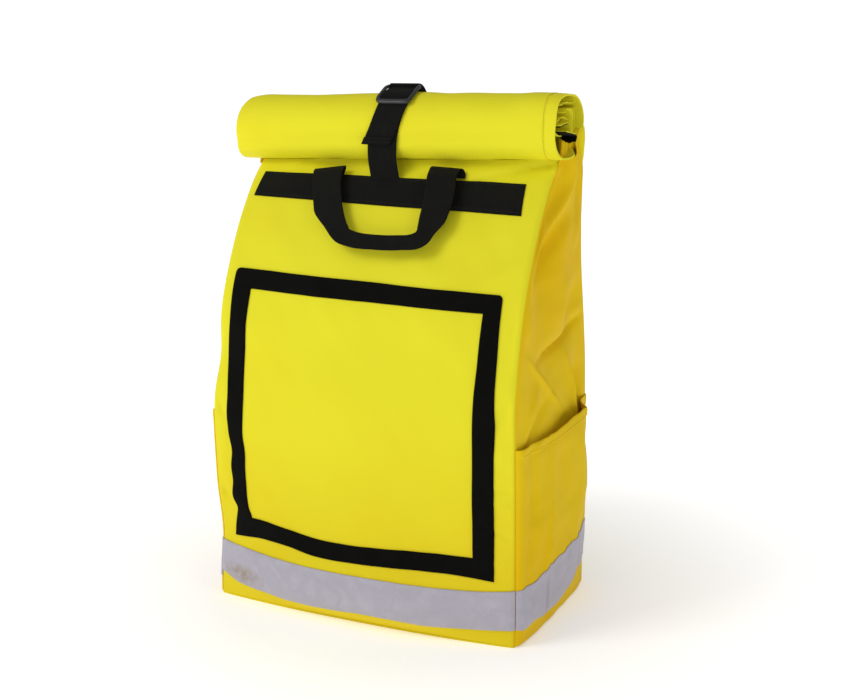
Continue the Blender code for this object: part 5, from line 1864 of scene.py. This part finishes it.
@dataclass
class ClosureStrap:
    """The strap over the roll with its three-bar buckle."""

    form: BagForm
    strips: FrontStrips
    width: float = 0.040
    foot_x: float = -0.0105
    top_x: float = -0.0020
    tail_x: float = -0.0215
    under_across: tuple[float, ...] = (-0.0132, -0.0152, -0.0118, -0.0062, -0.0022)
    tail_across: tuple[float, ...] = (-0.0042, -0.0082, -0.0145)
    sewn: float = 0.004
    tail_drop: float = 0.0200
    buckle_width: float = 0.0500
    rail: float = 0.0050
    lift: float = 0.0045
    front_deg: float = 139.0
    middle_deg: float = 114.0
    rear_deg: float = 90.0
    bar_deg: float = 4.0
    clear_deg: float = 6.0
    back_webbing_high: float = 0.5000

    def __post_init__(self) -> None:
        """Works out the radii of the buckle's bars."""
        self.guide = RollGuide(self.form)
        self.rear_radius = self.guide.radius + self.guide.bend + self.lift
        self.front_radius = self.guide.radius + self.guide.layer + self.guide.bend

    def along(self, name: str, centre: Array, *nodes: str) -> None:
        """Webbing of the strap's width along centre points."""
        half = np.array([self.width / 2.0, 0.0, 0.0])
        Palette.dress(ribbon(name, centre - half, centre + half, self.guide.webbing), Palette.WEBBING, *nodes)

    def front_part(self) -> None:
        """From the front webbing up, round the middle bar and back down as the free tail."""
        guide = self.guide
        foot_row, stand = self.strips.webbing_high - self.sewn, self.form.seam + guide.webbing / 2.0
        foot = lifted(self.form.front, np.array(self.foot_x), np.array(foot_row), stand)[1:]
        touch = guide.touch(foot, False)
        bar_end = self.middle_deg - self.bar_deg / 2.0
        under = guide.arc(touch, bar_end, guide.radius, guide.radius)
        above = guide.radius + 2.0 * guide.bend
        clear = bar_end + self.clear_deg
        over = guide.arc(bar_end, clear, above, above)
        sink = guide.arc(clear, self.front_deg - self.bar_deg, above, guide.radius + guide.layer)[1:]
        lay = guide.arc(self.front_deg, touch, guide.radius + guide.layer, guide.radius + guide.layer)
        down = (foot - under[0]) / np.linalg.norm(foot - under[0])
        hem = lay[-1] + down * self.tail_drop
        bend = guide.fold(guide.radius + guide.bend, bar_end, -1.0)
        rise = np.vstack((foot, foot + (under[0] - foot) * 0.5, under))
        up = across_path(rise, (self.foot_x, *self.under_across, self.top_x))
        inside = across_path(np.vstack((bend, over, sink)), (self.top_x, self.top_x))
        tail = np.vstack((lay, lay[-1] + down * self.tail_drop * 0.5, hem))
        tail = across_path(tail, (self.top_x, *self.tail_across, self.tail_x))
        self.along("closure_webbing", np.vstack((up, inside, tail)), "closure_strap")
        self.hem(tail)

    def hem(self, tail: Array) -> None:
        """The tail's folded end, with two rows of stitches across it."""
        out = np.array([0.0, -0.90, 0.43]) * self.guide.layer
        ahead = (tail[-1] - tail[-2]) / np.linalg.norm(tail[-1] - tail[-2])
        turned = np.array([tail[-1] + out - ahead * reach for reach in (0.0095, 0.0065, 0.0030, -0.0004)])
        self.along("closure_hem", turned)
        half = np.array([self.width / 2.0 - 0.002, 0.0, 0.0])
        for number, reach in enumerate((0.0080, 0.0022)):
            middle = tail[-1] + out * 1.55 - ahead * reach
            path = middle + np.linspace(-1.0, 1.0, 21)[:, None] * half
            normal = np.tile(out, (21, 1))
            stitches = stitch_row("hem_stitches_%d" % number, path, normal, 0.0026, 0.0009, 0.0006)
            Palette.dress(stitches, Palette.DARK_THREAD)

    def back_part(self) -> None:
        """From the back webbing over the roll to the rear bar, with its sewn return."""
        guide = self.guide
        rows = lines(self.back_webbing_high - self.sewn, 0.563, 0.012)
        stand = self.form.seam + guide.webbing / 2.0
        climb = lifted(self.form.back, np.full(rows.shape, self.top_x), rows, -stand)[:, 1:]
        touch = guide.touch(climb[-1], True)
        bar_end = self.rear_deg + self.bar_deg / 2.0
        lift_from = touch + 0.35 * (bar_end - touch)
        wrap = guide.arc(touch, lift_from, guide.radius, guide.radius)
        raised = guide.arc(lift_from, bar_end, guide.radius, self.rear_radius - guide.bend)[1:]
        bend = guide.fold(self.rear_radius, bar_end, 1.0)
        clear = bar_end - self.clear_deg
        above = self.rear_radius + guide.bend
        over = guide.arc(bar_end, clear, above, above)
        back = guide.arc(clear, lift_from, above, guide.radius + guide.layer)[1:]
        path = across_path(np.vstack((climb, wrap, raised, bend, over, back)), (self.top_x, self.top_x))
        self.along("closure_webbing_back", path, "closure_strap_back")
        low, high = self.rear_radius - guide.bend, guide.radius + guide.bend
        window = guide.arc(bar_end - 1.0, self.middle_deg - 3.0, low, high)
        self.along("closure_webbing_window", across_path(window, (self.top_x, self.top_x)))

    def buckle(self) -> None:
        """A rounded frame, thicker along its front, and the middle bar."""
        across, along = squared_ring(120, 0.28)
        middle = (self.front_deg + self.rear_deg) / 2.0
        degrees = middle + along * (self.front_deg - self.rear_deg) / 2.0
        stops = (self.rear_deg, self.middle_deg, self.front_deg)
        bar_radius = self.guide.radius + self.guide.bend
        radius = np.interp(degrees, stops, (self.rear_radius, bar_radius + 0.0010, self.front_radius))
        x = self.top_x + across * (self.buckle_width - self.rail) / 2.0
        centre = np.column_stack((x, self.guide.point(radius, degrees)))
        angle = np.radians(degrees)
        out = np.column_stack((np.zeros(len(angle)), np.cos(angle), np.sin(angle)))
        front = smooth_step((along - 0.75) / 0.25)
        wide = 0.0025 + 0.0008 * front
        high = 0.0019 + 0.0008 * front
        bars = [ring_sweep(centre, out, wide, high, 14, 0.75)]
        x = self.top_x + np.linspace(-0.5, 0.5, 7) * (self.buckle_width - self.rail)
        bar_at = self.guide.point(bar_radius, self.middle_deg)
        bar = np.column_stack((x, np.tile(bar_at, (7, 1))))
        angle = math.radians(self.middle_deg)
        side = np.tile((0.0, -math.sin(angle), math.cos(angle)), (7, 1))
        bars.append(sweep(bar, side, np.full(7, 0.0014), np.full(7, 0.0011), 12, 0.8))
        Palette.dress(joined("closure_buckle", bars), Palette.PLASTIC, "strap_buckle")

    def build(self) -> None:
        """Makes and dresses both straps and the buckle."""
        self.front_part()
        self.back_part()
        self.buckle()


# The handle's two edges from the left sewn end to the right one: place across and row of
# the outer edge and of the inner edge, and how far the webbing stands off the front
HANDLE_PATH = Table(("outer_x", "outer_row", "inner_x", "inner_row", "lift"), (
    (-0.1150, 0.5480, -0.0740, 0.5500, 0.0029),
    (-0.1150, 0.5515, -0.0740, 0.5545, 0.0034),
    (-0.1148, 0.5537, -0.0738, 0.5573, 0.0058),
    (-0.1138, 0.5530, -0.0728, 0.5572, 0.0092),
    (-0.1118, 0.5490, -0.0713, 0.5535, 0.0122),
    (-0.1065, 0.5390, -0.0665, 0.5420, 0.0133),
    (-0.0985, 0.5230, -0.0560, 0.5230, 0.0138),
    (-0.0905, 0.5085, -0.0460, 0.5060, 0.0142),
    (-0.0845, 0.5000, -0.0385, 0.4950, 0.0152),
    (-0.0640, 0.4850, -0.0318, 0.4875, 0.0170),
    (-0.0440, 0.4697, -0.0285, 0.4845, 0.0178),
    (-0.0260, 0.4650, -0.0170, 0.4822, 0.0180),
    (0.0100, 0.4643, 0.0060, 0.4810, 0.0180),
    (0.0475, 0.4655, 0.0350, 0.4820, 0.0180),
    (0.0725, 0.4695, 0.0560, 0.4838, 0.0180),
    (0.0785, 0.4740, 0.0596, 0.4860, 0.0178),
    (0.0865, 0.4870, 0.0594, 0.4940, 0.0170),
    (0.0940, 0.4985, 0.0590, 0.5030, 0.0160),
    (0.0952, 0.5115, 0.0580, 0.5130, 0.0150),
    (0.0930, 0.5300, 0.0545, 0.5320, 0.0138),
    (0.0892, 0.5520, 0.0505, 0.5530, 0.0130),
    (0.0900, 0.5585, 0.0500, 0.5600, 0.0100),
    (0.0920, 0.5605, 0.0500, 0.5620, 0.0065),
    (0.0950, 0.5580, 0.0505, 0.5600, 0.0034),
    (0.0960, 0.5530, 0.0510, 0.5545, 0.0029),
))


@dataclass
class CarryHandle:
    """Loop of webbing that hangs over the front webbing."""

    form: BagForm
    webbing: float = 0.0016

    def edge(self, label: str) -> Array:
        """Points of the outer or the inner edge."""
        x, row = HANDLE_PATH.values(label + "_x"), HANDLE_PATH.values(label + "_row")
        return lifted(self.form.front, x, row, HANDLE_PATH.values("lift"))

    def build(self) -> None:
        """Makes and dresses the handle: one strip, down one leg, along the grip and up the other."""
        strap = ribbon("handle_webbing", self.edge("outer"), self.edge("inner"), self.webbing, 0.0018)
        Palette.dress(strap, Palette.WEBBING, "carry_handle")
        for number, (left, right, row) in enumerate(((-0.110, -0.078, 0.5275), (0.056, 0.091, 0.5275))):
            x = np.linspace(left, right, 12)
            path, normal = surface_seam(self.form.front, x, np.full(12, row), 0.0024)
            stitches = stitch_row("handle_stitches_%d" % number, path, normal, 0.0028, 0.0009, 0.0006)
            Palette.dress(stitches, Palette.DARK_THREAD)


SHOULDER = Table(("drop", "bow", "out"), (
    (0.00, 0.000, 0.00),
    (0.06, 0.020, 0.00),
    (0.15, 0.240, 0.04),
    (0.30, 0.560, 0.16),
    (0.48, 0.830, 0.38),
    (0.66, 0.980, 0.64),
    (0.84, 1.000, 0.86),
    (1.00, 0.920, 1.00),
))


@dataclass
class ShoulderStrap:
    """Padded strap with its edge binding, lower webbing and adjuster."""

    form: BagForm
    side: Side
    width: float = 0.060
    thickness: float = 0.010
    top_x: float = 0.058
    end_x: float = 0.098
    drop: float = 0.330
    bow: float = 0.075
    anchor_high: float = 0.5000
    lower_width: float = 0.025
    lower_x: float = 0.165
    lower_z: float = 0.050
    webbing: float = 0.0015
    binding: float = 0.0024

    def middle_line(self) -> Array:
        """Centre points of the padded strap, from its sewn top down."""
        top_row, stand = np.array(self.anchor_high - 0.004), 0.0021 + self.thickness / 2.0
        top = lifted(self.form.back, np.array(0.0), top_row, -stand)
        x = self.side.value * (self.top_x + (self.end_x - self.top_x) * SHOULDER.values("out"))
        y = top[1] + self.bow * SHOULDER.values("bow")
        z = top[2] - self.drop * SHOULDER.values("drop")
        return even_path(np.column_stack((x, y, z)), 0.004)

    def pad(self) -> Array:
        """Crowned pad between bound edges; returns its centre line."""
        centre = self.middle_line()
        wide = np.tile((1.0, 0.0, 0.0), (len(centre), 1))
        normal = path_frame(centre, wide)
        run = np.linspace(0.0, self.drop, len(centre))
        end = np.clip(np.minimum(run, run[::-1]) / 0.010, 0.0, 1.0)
        close = np.sqrt(np.clip(1.0 - (1.0 - end) ** 2, 0.03, 1.0))
        across = np.linspace(-0.5, 0.5, 25)
        crown = np.clip(1.0 - (np.abs(across) * 2.0) ** 6, 0.06, 1.0) ** 0.6
        groove = 0.0006 * np.exp(-((np.abs(across) - 0.405) / 0.014) ** 2)
        soft = ripple(run[:, None], across[None, :] * self.width, 0.035, 0.0004, 61)
        narrow = 1.0 - 0.25 * (1.0 - close[:, None])
        middle = centre[:, None, :] + (across[None, :] * self.width * narrow)[..., None] * wide[:, None, :]
        half = (self.thickness / 2.0 * crown[None, :] - groove[None, :]) * (0.30 + 0.70 * close[:, None])
        outer = middle + normal[:, None, :] * (half + soft * crown[None, :])[..., None]
        inner = middle - normal[:, None, :] * half[..., None]
        pad = sheet("pad_" + self.side.label, outer, inner)
        Palette.dress(pad, Palette.PAD, "shoulder_strap_" + self.side.label)
        for sign in (-1.0, 1.0):
            edge = centre + sign * wide * (self.width / 2.0 - 0.0004) * narrow
            half_wide, half_high = np.full(len(edge), 0.0017), np.full(len(edge), self.binding)
            points, faces = sweep(edge, wide, half_wide, half_high, 10, 0.8)
            name = "binding_%s_%s" % (self.side.label, "inner" if sign * self.side.value < 0 else "outer")
            Palette.dress(make_piece(name, points, faces), Palette.WEBBING)
        return centre

    def build(self) -> None:
        """Makes and dresses the pad, the lower webbing and the adjuster."""
        centre = self.pad()
        wide = np.tile((1.0, 0.0, 0.0), (len(centre), 1))
        normal = path_frame(centre, wide)
        sign = 1.0 if normal[len(normal) // 2][1] < 0.0 else -1.0
        under = sign * normal * (self.thickness / 2.0 + 0.0018 - self.webbing / 2.0)
        start = (centre + under)[-14:]
        end_x = self.side.value * self.lower_x
        rows = np.array([self.lower_z + self.lower_width, self.lower_z])
        end = lifted(self.form.back, np.full(2, end_x), rows, -(self.form.seam + self.webbing / 2.0))
        steps = np.linspace(0.0, 1.0, 9)[1:-1, None]
        below = start[-1] + (end[0] - start[-1]) * steps
        lower = np.vstack((start[::6], start[-1:], below, end))
        half = np.array([self.lower_width / 2.0, 0.0, 0.0])
        strap = ribbon("lower_strap_" + self.side.label, lower - half, lower + half, self.webbing)
        Palette.dress(strap, Palette.WEBBING, "lower_webbing_" + self.side.label)
        self.adjuster(start[-1], end[0])

    def adjuster(self, start: Array, end: Array) -> None:
        """Three rounded bars between two rails, on the run of the lower webbing."""
        ahead = (end - start) / np.linalg.norm(end - start)
        wide = np.array([1.0, 0.0, 0.0])
        normal = -np.cross(ahead, wide)
        normal = normal / np.linalg.norm(normal)
        offset = self.webbing / 2.0 + 0.0003 + 0.0012
        at = 0.0096 + 0.00155
        x = np.array([-1.0, -0.94, 0.0, 0.94, 1.0])[:, None] * (self.lower_width / 2.0 + 0.0046) * wide
        taper = np.array([0.6, 1.0, 1.0, 1.0, 0.6])
        bars, centres = [], []
        for sign in (1.0, -1.0, 1.0):
            middle = start + ahead * at + normal * offset * sign
            centres.append(middle)
            bars.append(sweep(middle + x, np.tile(ahead, (5, 1)), 0.00155 * taper, 0.0012 * taper, 12, 0.8))
            at += 0.0103
        line = even_path(np.array(centres), 0.0015)
        for sign in (-1.0, 1.0):
            rail = line + wide * sign * (self.lower_width / 2.0 + 0.0026)
            half_wide, half_high = np.full(len(rail), 0.0019), np.full(len(rail), 0.0014)
            bars.append(sweep(rail, np.tile(wide, (len(rail), 1)), half_wide, half_high, 12, 0.7))
        label = self.side.label
        Palette.dress(joined("adjuster_" + label, bars), Palette.PLASTIC, "strap_adjuster_" + label)


@dataclass
class BackWebbing:
    """Horizontal anchor webbing over the tops of the shoulder straps."""

    form: BagForm
    length: float = 0.230
    low: float = 0.4620
    high: float = 0.5000
    webbing: float = 0.0015

    def build(self) -> None:
        """Makes and dresses the anchor webbing."""
        columns = soft_lines(-self.length / 2.0, self.length / 2.0, 0.003, 0.0009)
        rows = soft_lines(self.low, self.high, 0.003, 0.0009)
        strap = wall_patch("anchor_webbing", self.form.back, columns, rows, 0.0003, self.webbing, -1.0)
        Palette.dress(strap, Palette.WEBBING, "back_webbing")


@dataclass
class Studio:
    """Plain pale floor, soft light and the photograph's camera."""

    floor_size: float = 9.0
    camera_at: tuple[float, float, float] = (0.7703, -1.5598, 0.6979)
    camera_tilt: tuple[float, float] = (77.96, 25.13)
    lens: float = 56.93
    world_light: float = 0.41
    world_seen: float = 1.05
    world_tint: tuple[float, float, float] = (1.0, 0.98, 0.96)
    floor_glow: float = 0.34
    far_glow: float = 0.74

    def floor(self) -> None:
        """A pale floor under the bag that glows, faintly near the bag and more strongly further out."""
        half = self.floor_size / 2.0
        points = np.array([(-half, -half, 0.0), (half, -half, 0.0), (half, half, 0.0), (-half, half, 0.0)])
        floor = make_piece("floor", points, np.array([(0, 1, 2, 3)]))
        material = bpy.data.materials.new("pale_floor")
        material.use_nodes = True
        shader = material.node_tree.nodes["Principled BSDF"]
        shader.inputs["Base Color"].default_value = (0.92, 0.92, 0.92, 1.0)
        shader.inputs["Roughness"].default_value = 0.95
        shader.inputs["Emission Color"].default_value = (1.0, 1.0, 1.0, 1.0)
        graph = Graph(material.node_tree)
        away = graph.node("ShaderNodeVectorMath", operation="LENGTH")
        graph.feed(away, 0, graph.node("ShaderNodeTexCoord").outputs["Object"])
        glow = graph.span(away.outputs["Value"], 0.24, 0.75, self.floor_glow, self.far_glow)
        graph.feed(shader, "Emission Strength", glow)
        floor.data.materials.append(material)

    def light(self, name: str, at: tuple[float, float, float], size: float, power: float) -> None:
        """A soft square lamp that points at the middle of the bag."""
        data = bpy.data.lights.new(name, "AREA")
        data.energy = power
        data.size = size
        lamp = bpy.data.objects.new(name, data)
        lamp.location = at
        away = Vector(at) - Vector((0.0, 0.0, 0.33))
        lamp.rotation_euler = away.to_track_quat("Z", "Y").to_euler()
        bpy.context.scene.collection.objects.link(lamp)

    def build(self) -> None:
        """Sets the floor, the world, the lamps and the camera."""
        self.floor()
        world = bpy.data.worlds.new("studio")
        world.use_nodes = True
        graph = Graph(world.node_tree)
        back = world.node_tree.nodes["Background"]
        seen = graph.node("ShaderNodeLightPath").outputs["Is Camera Ray"]
        graph.feed(back, "Strength", graph.span(seen, 0.0, 1.0, self.world_light, self.world_seen))
        graph.feed(back, "Color", graph.blend(seen, (*self.world_tint, 1.0), (1.0, 1.0, 1.0, 1.0)))
        bpy.context.scene.world = world
        bpy.context.scene.view_settings.view_transform = "Standard"
        self.light("key", (-1.4, -1.8, 2.1), 1.2, 25.5)
        self.light("front", (-0.6, -2.9, 0.9), 1.8, 5.2)
        self.light("side", (2.2, -0.9, 2.2), 0.8, 4.4)
        data = bpy.data.cameras.new("camera")
        data.lens = self.lens
        camera = bpy.data.objects.new("camera", data)
        camera.location = self.camera_at
        camera.rotation_euler = (math.radians(self.camera_tilt[0]), 0.0, math.radians(self.camera_tilt[1]))
        bpy.context.scene.collection.objects.link(camera)
        bpy.context.scene.camera = camera


def main() -> None:
    logging.basicConfig(level=logging.INFO, format="%(message)s")
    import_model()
    form = BagForm()
    walls = Walls(form)
    walls.build()
    for side in Side:
        SidePocket(form, side, walls).build()
    strips = FrontStrips(form)
    strips.build()
    RolledTop(form).build()
    ClosureStrap(form, strips).build()
    CarryHandle(form).build()
    BackWebbing(form).build()
    for side in Side:
        ShoulderStrap(form, side).build()
    Studio().build()


if __name__ == "__main__":
    main()
